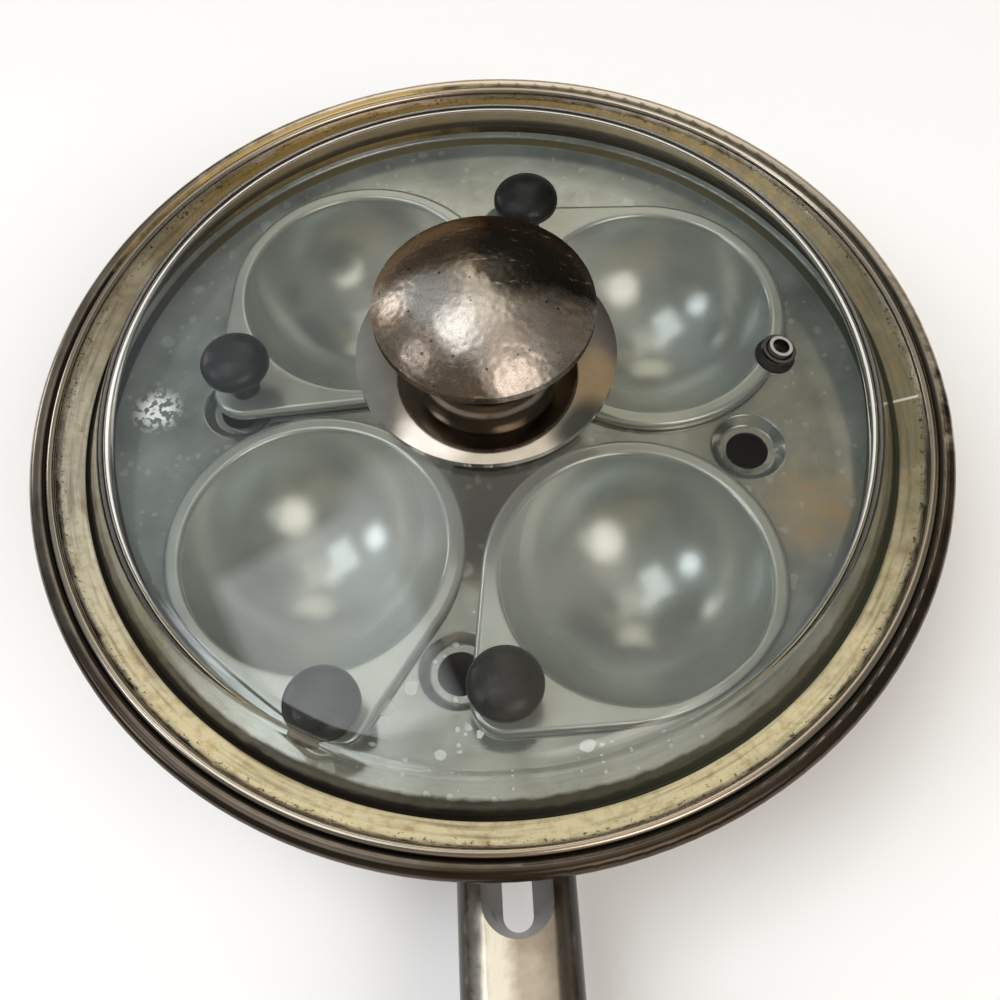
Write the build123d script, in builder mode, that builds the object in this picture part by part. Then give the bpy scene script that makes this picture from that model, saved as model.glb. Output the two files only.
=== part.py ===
from build123d import *
import math
import os

os.makedirs("parts", exist_ok=True)

# Egg poacher pan. Millimetres, +Z up. The origin is on the pan's axis at the face that it
# stands on, and the handle points along -Y.

# Pan, its radius set by the cups that stand in it
cup_wall_gap = 8.3
rim_height = 60.0
bead_radius = 2.3
pan_sheet = 0.8
floor_corner = 14.0
ledge_width = 3.6
seat_depth = 3.0
seat_fall = 9.8
seat_width = 4.8
lead_in_width = 3.6
rim_land = 3.8
roll_tuck = 3.5
roll_flat = 0.2
pan_bend = 1.2
seat_bend = 2.6

# Sandwich base under the pan
base_inset = 13.8
base_sheet = 0.6
base_bend = 1.5
core_depth = 4.0
core_gap = 0.3

# Tray that the cups hang in
tray_sheet = 0.8
tray_edge_gap = 1.0
tray_lip_width = 1.0
tray_lip_rise = 1.3
cup_gap = 4.66
cup_count = 4
layout_turn = -8.92
steam_hole_shift = 11.9
steam_hole_radius = 5.8
steam_dish_radius = 11.1
steam_dish_depth = 2.5
steam_dish_land = 2.0
steam_dish_shoulder = 0.9
dish_bend = 0.8

# Egg cups
cup_radius = 39.6
cup_rim_width = 4.7
cup_depth = 27.0
cup_wall = 1.8
cup_rim_depth = 2.9
cup_rim_sheet = 1.4
cup_rim_round = 1.1
cup_hole_gap = 0.5
tab_width = 7.2
tab_tip_radius = 9.0
tab_headings = (136.25, -135.75, -83.65, -138.15)

# Grips on the cups' tabs, each held by a screw from below
grip_radius = 9.3
grip_height = 15.5
grip_crown = 4.3
grip_lip = 2.0
grip_under_radius = 8.4
grip_neck_radius = 4.3
grip_waist_radius = 3.6
grip_foot_radius = 4.3
grip_screw_radius = 1.6
grip_screw_length = 6.5
grip_screw_head_radius = 2.8
grip_screw_head_depth = 1.1
grip_bore_spare = 0.5

# Glass of the lid
glass_sheet = 3.2
dome_rise = 25.6
brow_width = 7.4
brow_drop = 13.6
glass_foot_inset = 0.4
glass_edge_width = 3.0
brow_bend = 6.0
foot_bend = 1.5

# Steel ring crimped round the glass
ring_sheet = 0.5
ring_overhang = 2.6
ring_band_width = 5.8
ring_band_drop = 2.3
ring_band_rise = 0.3
ring_riser_width = 1.0
ring_flange_width = 2.0
ring_flange_rise = 2.8
ring_hem = 0.95
ring_bend = 0.65
ring_seat_gap = 0.4
glass_seal_gap = 0.3

# Lid knob, its plate, seals, washer, nut and screw
plate_radius = 32.6
plate_hub_radius = 15.0
plate_sheet = 0.8
plate_drop = 1.7
seal_radius = 13.5
seal_depth = 1.4
knob_radius = 26.5
knob_foot_radius = 14.5
knob_waist_radius = 12.8
knob_throat_radius = 20.0
knob_sheet = 1.0
knob_rim_rise = 15.0
knob_lip = 2.2
knob_crown = 10.3
knob_bend = 1.6
knob_nut_flats = 10.0
knob_nut_depth = 6.0
knob_screw_radius = 2.5
knob_screw_head_radius = 5.0
knob_screw_head_depth = 2.6
knob_screw_stub = 2.0
screw_slot_width = 1.2
screw_slot_depth = 1.2
washer_radius = 11.0
washer_sheet = 1.2

# Steam vent of the lid
vent_spacing = 42.0
vent_radius = 4.45
vent_flange = 0.9
vent_spout_radius = 3.1
vent_spout_rise = 2.2
vent_bore_radius = 2.1
vent_barrel_radius = 2.8
vent_flare_radius = 3.6
vent_flare_depth = 0.5
vent_washer_radius = 5.2
vent_washer_sheet = 0.8

# Handle and the saddle that it is welded to
handle_root_width = 28.5
handle_root_length = 40.0
handle_waist_width = 24.0
handle_taper_length = 58.0
handle_end_width = 27.5
handle_swell_length = 52.0
handle_end_length = 28.0
handle_end_round = 12.5
handle_blend = 300.0
handle_depth = 16.0
handle_edge = 6.4
handle_wall = 1.2
handle_tilt = 6.0
handle_drop = 24.5
fork_top_width = 16.9
fork_base_width = 7.4
fork_top_reach = 24.9
fork_base_reach = 20.3
hang_hole_radius = 6.0
hang_hole_inset = 17.0
saddle_sheet = 1.4
saddle_width = 38.0
saddle_height = 20.0

# Clearances
rest_gap = 0.3
bore_gap = 0.4
thread_gap = 0.1
seat_gap = 0.05
overrun = 1.0

# Shares of the sizes that they follow
half_share = 0.5
waist_share = 0.42
stem_share = 0.45

# Plan of the cups, and the radii that follow from it out to the rim
full_turn = 360
cup_step = full_turn / cup_count
cup_headings = [layout_turn + cup_step * (index + half_share) for index in range(cup_count)]
cup_mouth_radius = cup_radius - cup_rim_width
cup_ring_radius = (cup_radius + cup_gap / 2) / math.sin(math.radians(cup_step / 2))
steam_ring_radius = cup_ring_radius + steam_hole_shift
tab_reach = cup_radius + tab_width
pan_radius = cup_ring_radius + cup_radius + cup_wall_gap
base_radius = pan_radius - base_inset
ledge_radius = pan_radius + ledge_width
seat_radius = ledge_radius + seat_width
rim_radius = seat_radius + lead_in_width + rim_land
ring_flange_radius = seat_radius + ring_overhang
ring_band_radius = ring_flange_radius - ring_flange_width - ring_riser_width
ring_lip_radius = ring_band_radius - ring_band_width
glass_foot_radius = ring_lip_radius - glass_foot_inset
glass_edge_radius = glass_foot_radius + glass_edge_width
brow_radius = glass_foot_radius - brow_width
vent_ring_radius = plate_radius + vent_spacing

# Heights of the stack
bead_top = rim_height + bead_radius
seat_height = rim_height - seat_depth
ledge_height = seat_height - seat_fall
pan_floor = base_sheet + core_depth + pan_sheet
tray_top = ledge_height + rest_gap + tray_sheet
cup_rim_bottom = tray_top + rest_gap
cup_rim_top = cup_rim_bottom + cup_rim_depth
glass_top = rim_height + dome_rise
plate_top = glass_top + seal_depth + plate_sheet
dome_radius = (brow_radius**2 + brow_drop**2) / (2 * brow_drop)
dome_centre = glass_top - dome_radius


def dome_height(radius, depth=0):
    """Height of the glass at a distance from the axis, at a depth under its outer face."""
    return dome_centre + math.sqrt((dome_radius - depth) ** 2 - radius**2)


def polar(radius, heading):
    """Point at a radius and a heading in degrees round the pan's axis."""
    return (radius * math.cos(math.radians(heading)), radius * math.sin(math.radians(heading)))


def upright(point, tilt=0, height=0):
    """Plane through a point for a turned section, its Y axis along the part's own axis."""
    lean = math.radians(tilt)
    return Plane(
        origin=(point[0], point[1], height),
        x_dir=(math.cos(lean), 0, -math.sin(lean)),
        z_dir=(0, -1, 0),
    )


def spindle(plane):
    """Axis of a turned part, given the plane of its section."""
    return Axis(plane.origin, plane.y_dir)


# Pan body, one drawn sheet from the floor over the ledge and the lid's seat to the rolled rim
roll_bend = bead_radius - roll_flat
pan_course = [
    (0, pan_floor),
    (pan_radius, pan_floor),
    (pan_radius, ledge_height),
    (ledge_radius, ledge_height),
    (seat_radius, seat_height),
    (seat_radius + lead_in_width, bead_top),
    (rim_radius, bead_top),
    (rim_radius, rim_height - bead_radius),
    (rim_radius - roll_tuck, rim_height - bead_radius),
]
pan_bends = [floor_corner, pan_bend, pan_bend, seat_bend, roll_bend, roll_bend, roll_bend]
with BuildPart() as pan_body:
    with BuildSketch(Plane.XZ):
        with BuildLine():
            FilletPolyline(*pan_course, radius=pan_bends)
            offset(amount=pan_sheet, side=Side.RIGHT)
        make_face()
    revolve(axis=Axis.Z)
pan_body.part.label = "pan_body"
export_step(pan_body.part, "parts/pan_body.step")

# Aluminium heat-spreading disc, closed in by the base cap
with BuildPart() as base_core:
    with BuildSketch(Plane.XY.offset(base_sheet)):
        Circle(base_radius - base_sheet - core_gap)
    extrude(amount=core_depth)
    chamfer(base_core.edges().sort_by(Axis.Z)[0], length=base_bend - base_sheet)
base_core.part.label = "base_core"
export_step(base_core.part, "parts/base_core.step")

# Steel cap pressed over the disc
with BuildPart() as base_cap:
    with BuildSketch(Plane.XZ):
        with BuildLine():
            FilletPolyline(
                (0, 0), (base_radius, 0), (base_radius, base_sheet + core_depth), radius=base_bend
            )
            offset(amount=base_sheet, side=Side.LEFT)
        make_face()
    revolve(axis=Axis.Z)
base_cap.part.label = "base_cap"
export_step(base_cap.part, "parts/base_cap.step")

# Handle, a hollow steel shell in two welded halves, forked at the pan
wall_radius = pan_radius + pan_sheet
saddle_radius = wall_radius + saddle_sheet
handle_height = rim_height - handle_drop
handle_lean = math.radians(handle_tilt)
handle_plane = Plane(
    origin=(0, -saddle_radius, handle_height),
    x_dir=(1, 0, 0),
    z_dir=(0, math.sin(handle_lean), math.cos(handle_lean)),
)
handle_axis = Axis(handle_plane.origin, handle_plane.z_dir)
handle_run_in = handle_root_width
handle_waist = handle_root_length + handle_taper_length
handle_swell = handle_waist + handle_swell_length
handle_length = handle_swell + handle_end_length
handle_side = [
    (handle_root_width / 2, handle_run_in),
    (handle_root_width / 2, -handle_root_length),
    (handle_waist_width / 2, -handle_waist),
    (handle_end_width / 2, -handle_swell),
    (handle_end_width / 2, -handle_length),
]
side_bends = [0, handle_blend, handle_blend, handle_blend, handle_end_round]
handle_course = handle_side + [(-across, along) for across, along in reversed(handle_side)]
handle_bends = side_bends + list(reversed(side_bends))


def fork_size(top, base, level):
    """Size of the fork's tapered slot at a level above the handle's middle plane."""
    return (top + base) / 2 + (top - base) * level / handle_depth


with BuildPart() as fork_slot:
    for level in (-handle_depth / 2 - overrun, handle_depth / 2 + overrun):
        slot_width = fork_size(fork_top_width, fork_base_width, level)
        slot_reach = fork_size(fork_top_reach, fork_base_reach, level)
        with BuildSketch(handle_plane.offset(level)):
            with BuildLine():
                mouth_left = (-slot_width / 2, handle_run_in)
                mouth_right = (slot_width / 2, handle_run_in)
                end_left = (-slot_width / 2, slot_width / 2 - slot_reach)
                end_right = (slot_width / 2, slot_width / 2 - slot_reach)
                Line(mouth_right, mouth_left)
                Line(mouth_left, end_left)
                ThreePointArc(end_left, (0, -slot_reach), end_right)
                Line(end_right, mouth_right)
            make_face()
    loft(ruled=True)

with BuildPart() as fork_lining:
    for level in (-handle_depth / 2, handle_depth / 2):
        slot_width = fork_size(fork_top_width, fork_base_width, level) + 2 * handle_wall
        slot_reach = fork_size(fork_top_reach, fork_base_reach, level) + handle_wall
        with BuildSketch(handle_plane.offset(level)):
            with BuildLine():
                mouth_left = (-slot_width / 2, handle_run_in + overrun)
                mouth_right = (slot_width / 2, handle_run_in + overrun)
                end_left = (-slot_width / 2, slot_width / 2 - slot_reach)
                end_right = (slot_width / 2, slot_width / 2 - slot_reach)
                Line(mouth_right, mouth_left)
                Line(mouth_left, end_left)
                ThreePointArc(end_left, (0, -slot_reach), end_right)
                Line(end_right, mouth_right)
            make_face()
    loft(ruled=True)

hang_hole_place = (0, hang_hole_inset - handle_length)
with BuildPart() as handle_hollow:
    with BuildSketch(handle_plane.offset(handle_wall - handle_depth / 2)):
        with BuildLine():
            FilletPolyline(*handle_course, radius=handle_bends, close=True)
        make_face()
        offset(amount=-handle_wall, kind=Kind.INTERSECTION)
    extrude(amount=handle_depth - 2 * handle_wall)
    hollow_ends = handle_hollow.faces().filter_by(handle_axis)
    fillet(hollow_ends.edges(), radius=handle_edge - handle_wall)
    with BuildSketch(handle_plane.offset(-handle_depth / 2)):
        with Locations(hang_hole_place):
            Circle(hang_hole_radius + handle_wall)
    extrude(amount=handle_depth, mode=Mode.SUBTRACT)
    add(fork_lining.part, mode=Mode.SUBTRACT)

with BuildPart() as handle_shell:
    with BuildSketch(handle_plane.offset(-handle_depth / 2)):
        with BuildLine():
            FilletPolyline(*handle_course, radius=handle_bends, close=True)
        make_face()
    extrude(amount=handle_depth)
    shell_ends = handle_shell.faces().filter_by(handle_axis)
    fillet(shell_ends.edges(), radius=handle_edge)
    with BuildSketch(handle_plane.offset(-handle_depth / 2)):
        with Locations(hang_hole_place):
            Circle(hang_hole_radius)
    extrude(amount=handle_depth, mode=Mode.SUBTRACT)
    add(fork_slot.part, mode=Mode.SUBTRACT)
    add(handle_hollow.part, mode=Mode.SUBTRACT)
    with BuildSketch(Plane.XY):
        Circle(saddle_radius)
    extrude(amount=rim_height, mode=Mode.SUBTRACT)

with BuildPart() as handle_top:
    add(handle_shell.part)
    split(bisect_by=handle_plane, keep=Keep.TOP)
handle_top.part.label = "handle_top"
export_step(handle_top.part, "parts/handle_top.step")

with BuildPart() as handle_base:
    add(handle_shell.part)
    split(bisect_by=handle_plane, keep=Keep.BOTTOM)
handle_base.part.label = "handle_base"
export_step(handle_base.part, "parts/handle_base.step")

# Saddle plate, welded to the pan's wall, that the fork's two prongs end on
with BuildPart() as handle_saddle:
    with BuildSketch(Plane.XY.offset(handle_height - saddle_height / 2)):
        Circle(saddle_radius)
        Circle(wall_radius, mode=Mode.SUBTRACT)
        with Locations((0, -saddle_radius)):
            Rectangle(saddle_width, saddle_width, mode=Mode.INTERSECT)
    extrude(amount=saddle_height)
handle_saddle.part.label = "handle_saddle"
export_step(handle_saddle.part, "parts/handle_saddle.step")

# Tray plate with a turned-up edge, four cup holes and four dished steam holes
tray_radius = ledge_radius - tray_edge_gap
cup_hole_radius = cup_mouth_radius + cup_wall + cup_hole_gap
with BuildPart() as tray:
    with BuildSketch(Plane.XZ):
        with BuildLine():
            FilletPolyline(
                (0, tray_top),
                (tray_radius - tray_lip_width, tray_top),
                (tray_radius, tray_top + tray_lip_rise),
                radius=pan_bend,
            )
            offset(amount=tray_sheet, side=Side.RIGHT)
        make_face()
    revolve(axis=Axis.Z)
    with BuildSketch(Plane.XY.offset(tray_top - tray_sheet)):
        for heading in cup_headings:
            with Locations(polar(cup_ring_radius, heading)):
                Circle(cup_hole_radius)
        for heading in cup_headings:
            with Locations(polar(steam_ring_radius, heading - cup_step / 2)):
                Circle(steam_dish_radius)
    extrude(amount=tray_sheet, mode=Mode.SUBTRACT)
    for heading in cup_headings:
        dish_plane = upright(polar(steam_ring_radius, heading - cup_step / 2), height=tray_top)
        with BuildSketch(dish_plane):
            with BuildLine():
                FilletPolyline(
                    (steam_dish_radius, 0),
                    (steam_dish_radius - steam_dish_shoulder, 0),
                    (steam_hole_radius + steam_dish_land, -steam_dish_depth),
                    (steam_hole_radius, -steam_dish_depth),
                    radius=dish_bend,
                )
                offset(amount=tray_sheet, side=Side.LEFT)
            make_face()
        revolve(axis=spindle(dish_plane))
tray.part.label = "tray"
export_step(tray.part, "parts/tray.step")


# Egg cups, their grips and the grips' screws, one set for each hole of the tray
bowl_radius = (cup_mouth_radius**2 + cup_depth**2) / (2 * cup_depth)
bowl_centre = cup_rim_top - cup_depth + bowl_radius
grip_equator = tray_top + grip_height
grip_top = grip_equator + grip_crown
tab_sheet_bottom = cup_rim_top - cup_rim_sheet
grip_waist = cup_rim_top + (grip_equator - grip_lip - cup_rim_top) * stem_share

for index in range(cup_count):
    cup_place = polar(cup_ring_radius, cup_headings[index])
    tab_step = polar(tab_reach, tab_headings[index])
    tab_place = (cup_place[0] + tab_step[0], cup_place[1] + tab_step[1])
    cup_plane = upright(cup_place, height=bowl_centre)
    grip_plane = upright(tab_place)

    with BuildPart() as cup:
        with BuildSketch(Plane.XY.offset(cup_rim_bottom)):
            with Locations(cup_place):
                Circle(cup_radius)
            with Locations(tab_place):
                Circle(tab_tip_radius)
            make_hull()
        extrude(amount=cup_rim_depth)
        fillet(cup.faces().sort_by(Axis.Z)[-1].edges(), radius=cup_rim_round)
        with BuildSketch(Plane.XY.offset(cup_rim_bottom)):
            with Locations(cup_place):
                Circle(cup_radius - cup_rim_sheet)
            with Locations(tab_place):
                Circle(tab_tip_radius - cup_rim_sheet)
            make_hull()
        extrude(amount=cup_rim_depth - cup_rim_sheet, mode=Mode.SUBTRACT)
        with BuildSketch(cup_plane):
            Circle(bowl_radius + cup_wall)
            with Locations((0, cup_rim_top - bowl_centre)):
                Rectangle(
                    bowl_radius + cup_wall,
                    2 * bowl_radius,
                    align=(Align.MIN, Align.MAX),
                    mode=Mode.INTERSECT,
                )
        revolve(axis=spindle(cup_plane))
        with BuildSketch(cup_plane):
            Circle(bowl_radius)
            with Locations((0, cup_rim_top - bowl_centre + overrun)):
                Rectangle(
                    bowl_radius,
                    2 * bowl_radius,
                    align=(Align.MIN, Align.MAX),
                    mode=Mode.INTERSECT,
                )
        revolve(axis=spindle(cup_plane), mode=Mode.SUBTRACT)
        with BuildSketch(Plane.XY.offset(cup_rim_bottom)):
            with Locations(tab_place):
                Circle(grip_screw_radius + thread_gap)
        extrude(amount=cup_rim_depth, mode=Mode.SUBTRACT)
    cup.part.label = f"cup_{index + 1}"
    export_step(cup.part, f"parts/cup_{index + 1}.step")

    with BuildPart() as grip:
        with BuildSketch(grip_plane):
            with BuildLine():
                bore_wall = grip_screw_radius + thread_gap
                bore_top = cup_rim_top + grip_screw_length + grip_bore_spare
                stem = ThreePointArc(
                    (grip_foot_radius, cup_rim_top),
                    (grip_waist_radius, grip_waist),
                    (grip_neck_radius, grip_equator - grip_lip),
                )
                under = Line(stem @ 1, (grip_under_radius, grip_equator - grip_lip))
                lip = Line(under @ 1, (grip_radius, grip_equator))
                TangentArc((0, grip_top), lip @ 1, tangent=(1, 0))
                Polyline(
                    (0, grip_top),
                    (0, bore_top),
                    (bore_wall, bore_top),
                    (bore_wall, cup_rim_top),
                    stem @ 0,
                )
            make_face()
        revolve(axis=spindle(grip_plane))
    grip.part.label = f"grip_{index + 1}"
    export_step(grip.part, f"parts/grip_{index + 1}.step")

    with BuildPart() as grip_screw:
        with BuildSketch(Plane.XY.offset(tab_sheet_bottom - grip_screw_head_depth)):
            with Locations(tab_place):
                Circle(grip_screw_head_radius)
        extrude(amount=grip_screw_head_depth)
        with BuildSketch(Plane.XY.offset(tab_sheet_bottom)):
            with Locations(tab_place):
                Circle(grip_screw_radius)
        extrude(amount=cup_rim_sheet + grip_screw_length)
    grip_screw.part.label = f"grip_screw_{index + 1}"
    export_step(grip_screw.part, f"parts/grip_screw_{index + 1}.step")


# Domed glass with a flat edge that the steel ring grips
glass_edge_top = rim_height - ring_band_drop - ring_sheet - glass_seal_gap
glass_edge_bottom = glass_edge_top - glass_sheet
screw_bore = knob_screw_radius + bore_gap
vent_place = (vent_ring_radius, 0)
vent_tilt = math.degrees(math.asin(vent_ring_radius / dome_radius))
vent_plane = upright(vent_place, tilt=vent_tilt, height=dome_height(vent_ring_radius))
vent_floor = Plane(
    origin=vent_plane.origin, x_dir=vent_plane.x_dir, z_dir=vent_plane.y_dir
)
with BuildPart() as lid_glass:
    with BuildSketch(Plane.XZ):
        with BuildLine() as glass_course:
            brow = (brow_radius, glass_top - brow_drop)
            bore_side = (screw_bore / 2, dome_height(screw_bore / 2))
            RadiusArc(bore_side, brow, dome_radius)
            Line(brow, (glass_foot_radius, glass_edge_top))
            Line((glass_foot_radius, glass_edge_top), (glass_edge_radius, glass_edge_top))
            corners = glass_course.vertices().sort_by(Axis.X)
            fillet(corners[2], radius=foot_bend)
            corners = glass_course.vertices().sort_by(Axis.X)
            fillet(corners[1], radius=brow_bend)
            offset(amount=glass_sheet, side=Side.RIGHT)
        make_face()
    revolve(axis=Axis.Z)
    with BuildSketch(Plane.XY):
        Circle(screw_bore)
    extrude(amount=glass_top + overrun, mode=Mode.SUBTRACT)
    with BuildSketch(vent_floor.offset(-2 * glass_sheet)):
        Circle(vent_barrel_radius + bore_gap)
    extrude(amount=3 * glass_sheet, mode=Mode.SUBTRACT)
lid_glass.part.label = "lid_glass"
export_step(lid_glass.part, "parts/lid_glass.step")

# Steel ring: lower lip, sloping web on the pan's seat, hemmed flange, riser and flat band
seat_slope = seat_width / (seat_height - ledge_height)
ring_foot = glass_edge_bottom - ring_sheet
ring_hem_top = rim_height + ring_flange_rise
ring_course = [
    (ring_lip_radius, ring_foot),
    (ledge_radius + (ring_foot - ledge_height) * seat_slope - ring_seat_gap, ring_foot),
    (seat_radius - ring_seat_gap, seat_height),
    (ring_flange_radius, ring_hem_top - ring_hem),
    (ring_flange_radius, ring_hem_top),
    (ring_flange_radius - ring_flange_width, ring_hem_top),
    (ring_band_radius, rim_height + ring_band_rise),
    (ring_lip_radius, rim_height - ring_band_drop),
]
with BuildPart() as lid_ring:
    with BuildSketch(Plane.XZ):
        with BuildLine():
            FilletPolyline(*ring_course, radius=ring_bend)
            offset(amount=ring_sheet, side=Side.LEFT)
        make_face()
    revolve(axis=Axis.Z)
lid_ring.part.label = "lid_ring"
export_step(lid_ring.part, "parts/lid_ring.step")

# Silicone seal between the glass and the knob's plate
with BuildPart() as knob_seal:
    with BuildSketch(Plane.XZ):
        with BuildLine():
            seal_inner = (screw_bore, dome_height(screw_bore))
            seal_outer = (seal_radius, dome_height(seal_radius))
            RadiusArc(seal_inner, seal_outer, dome_radius)
            Polyline(
                seal_outer,
                (seal_radius, glass_top + seal_depth),
                (screw_bore, glass_top + seal_depth),
                seal_inner,
            )
        make_face()
    revolve(axis=Axis.Z)
knob_seal.part.label = "knob_seal"
export_step(knob_seal.part, "parts/knob_seal.step")

# Dished steel plate under the knob
with BuildPart() as knob_plate:
    with BuildSketch(Plane.XZ):
        with BuildLine():
            hub = Line((screw_bore, plate_top), (plate_hub_radius, plate_top))
            crown = TangentArc(hub @ 1, (plate_radius, plate_top - plate_drop), tangent=(1, 0))
            Line(crown @ 1, (plate_radius, dome_height(plate_radius) + thread_gap))
            offset(amount=plate_sheet, side=Side.RIGHT)
        make_face()
    revolve(axis=Axis.Z)
knob_plate.part.label = "knob_plate"
export_step(knob_plate.part, "parts/knob_plate.step")

# Waisted steel neck of the knob
knob_rim_bottom = plate_top + knob_rim_rise
knob_waist_height = plate_top + knob_rim_rise * waist_share
knob_inner_radius = knob_radius - knob_sheet - thread_gap
with BuildPart() as knob_neck:
    with BuildSketch(Plane.XZ):
        with BuildLine():
            foot = Line((screw_bore, plate_top), (knob_foot_radius, plate_top))
            flare = ThreePointArc(
                foot @ 1,
                (knob_waist_radius, knob_waist_height),
                (knob_throat_radius, knob_rim_bottom),
            )
            Line(flare @ 1, (knob_inner_radius, knob_rim_bottom))
            offset(amount=knob_sheet, side=Side.LEFT)
        make_face()
    revolve(axis=Axis.Z)
knob_neck.part.label = "knob_neck"
export_step(knob_neck.part, "parts/knob_neck.step")

# Domed steel cap of the knob
with BuildPart() as knob_dome:
    with BuildSketch(Plane.XZ):
        with BuildLine() as dome_course:
            knob_lip_top = knob_rim_bottom + knob_lip
            crown = TangentArc(
                (0, knob_lip_top + knob_crown), (knob_radius, knob_lip_top), tangent=(1, 0)
            )
            Line(crown @ 1, (knob_radius, knob_rim_bottom))
            fillet(dome_course.vertices().sort_by(Axis.Z)[1], radius=knob_bend)
            offset(amount=knob_sheet, side=Side.RIGHT)
        make_face()
    revolve(axis=Axis.Z)
knob_dome.part.label = "knob_dome"
export_step(knob_dome.part, "parts/knob_dome.step")

# Nut inside the knob's neck
nut_bottom = plate_top + knob_sheet
with BuildPart() as knob_nut:
    with BuildSketch(Plane.XY.offset(nut_bottom)):
        RegularPolygon(radius=knob_nut_flats / 2, side_count=6, major_radius=False)
        Circle(knob_screw_radius + thread_gap, mode=Mode.SUBTRACT)
    extrude(amount=knob_nut_depth)
knob_nut.part.label = "knob_nut"
export_step(knob_nut.part, "parts/knob_nut.step")

# Silicone seal under the glass
under_rim = dome_height(seal_radius, glass_sheet)
washer_top = under_rim - seal_depth / 2
with BuildPart() as under_seal:
    with BuildSketch(Plane.XZ):
        with BuildLine():
            seal_inner = (screw_bore, dome_height(screw_bore, glass_sheet))
            seal_outer = (seal_radius, under_rim)
            RadiusArc(seal_inner, seal_outer, dome_radius - glass_sheet)
            Polyline(
                seal_outer, (seal_radius, washer_top), (screw_bore, washer_top), seal_inner
            )
        make_face()
    revolve(axis=Axis.Z)
under_seal.part.label = "under_seal"
export_step(under_seal.part, "parts/under_seal.step")

# Steel washer under that seal
washer_bottom = washer_top - washer_sheet
with BuildPart() as under_washer:
    with BuildSketch(Plane.XY.offset(washer_bottom)):
        Circle(washer_radius)
        Circle(screw_bore, mode=Mode.SUBTRACT)
    extrude(amount=washer_sheet)
under_washer.part.label = "under_washer"
export_step(under_washer.part, "parts/under_washer.step")

# Slotted screw from below, through the glass and up into the nut
head_bottom = washer_bottom - knob_screw_head_depth
screw_end = nut_bottom + knob_nut_depth + knob_screw_stub
with BuildPart() as knob_screw:
    with BuildSketch(Plane.XY.offset(head_bottom)):
        Circle(knob_screw_head_radius)
    extrude(amount=knob_screw_head_depth)
    with BuildSketch(Plane.XY.offset(washer_bottom)):
        Circle(knob_screw_radius)
    extrude(amount=screw_end - washer_bottom)
    with BuildSketch(Plane.XY.offset(head_bottom)):
        Rectangle(2 * knob_screw_head_radius, screw_slot_width)
    extrude(amount=screw_slot_depth, mode=Mode.SUBTRACT)
knob_screw.part.label = "knob_screw"
export_step(knob_screw.part, "parts/knob_screw.step")

# Vent eyelet through the glass, flared over a washer below
vent_washer_top = -glass_sheet - seat_gap
vent_washer_bottom = vent_washer_top - vent_washer_sheet
vent_end = vent_washer_bottom - vent_flare_depth
with BuildPart() as vent_eyelet:
    with BuildSketch(vent_plane):
        with BuildLine():
            Polyline(
                (vent_bore_radius, vent_end),
                (vent_flare_radius, vent_end),
                (vent_flare_radius, vent_washer_bottom),
                (vent_barrel_radius, vent_washer_bottom),
                (vent_barrel_radius, 0),
                (vent_radius, 0),
                (vent_radius, vent_flange),
                (vent_spout_radius, vent_flange),
                (vent_spout_radius, vent_spout_rise),
                (vent_bore_radius, vent_spout_rise),
                close=True,
            )
        make_face()
    revolve(axis=spindle(vent_plane))
vent_eyelet.part.label = "vent_eyelet"
export_step(vent_eyelet.part, "parts/vent_eyelet.step")

with BuildPart() as vent_washer:
    with BuildSketch(vent_floor.offset(vent_washer_bottom)):
        Circle(vent_washer_radius)
        Circle(vent_barrel_radius + thread_gap, mode=Mode.SUBTRACT)
    extrude(amount=vent_washer_sheet)
vent_washer.part.label = "vent_washer"
export_step(vent_washer.part, "parts/vent_washer.step")
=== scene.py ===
import logging
import math
from dataclasses import dataclass
from enum import Enum

import bmesh
import bpy
import numpy as np
from mathutils import Matrix, Quaternion, Vector


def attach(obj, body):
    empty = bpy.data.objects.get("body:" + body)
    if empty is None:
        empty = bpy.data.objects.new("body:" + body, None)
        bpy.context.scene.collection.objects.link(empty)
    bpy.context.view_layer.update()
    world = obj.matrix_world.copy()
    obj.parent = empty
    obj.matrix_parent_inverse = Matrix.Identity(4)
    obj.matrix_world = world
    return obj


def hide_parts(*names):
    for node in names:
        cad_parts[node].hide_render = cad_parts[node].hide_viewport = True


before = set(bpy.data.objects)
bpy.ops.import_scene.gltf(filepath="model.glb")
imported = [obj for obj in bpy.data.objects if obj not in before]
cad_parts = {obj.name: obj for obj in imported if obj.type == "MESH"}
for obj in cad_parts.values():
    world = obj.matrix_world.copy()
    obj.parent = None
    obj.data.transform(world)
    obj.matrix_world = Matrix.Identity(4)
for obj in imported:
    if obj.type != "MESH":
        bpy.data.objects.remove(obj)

# Looks of an egg poacher pan: a stained steel pan, a polished tray with four satin cups, and a
# steel-ringed glass lid with a scuffed steel knob. Sizes are in millimetres unless they say metres.

log = logging.getLogger("egg_poacher_pan")
METRE = 1000.0
Colour = tuple[float, float, float, float]
Pair = tuple[float, float]
Triple = tuple[float, float, float]
Aged = tuple[bpy.types.Node, bpy.types.Node, bpy.types.Node | float]


def between(ends: Pair) -> dict[str, float]:
    """Name the two ends of a ramp, in millimetres or as shares, for the node that draws it."""
    return {"From Min": ends[0], "From Max": ends[1]}


def linear(colour: str) -> Colour:
    """Turn an sRGB hex colour into the linear values that shaders take.

    Args:
        colour: a colour such as "#a0a0a0".

    Returns:
        Linear red, green and blue, and an alpha of 1.
    """
    coded = np.array([int(colour[start:start + 2], 16) for start in (1, 3, 5)]) / 255
    plain = np.where(coded <= 0.04045, coded / 12.92, ((coded + 0.055) / 1.055) ** 2.4)
    return (*plain.tolist(), 1.0)


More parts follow.
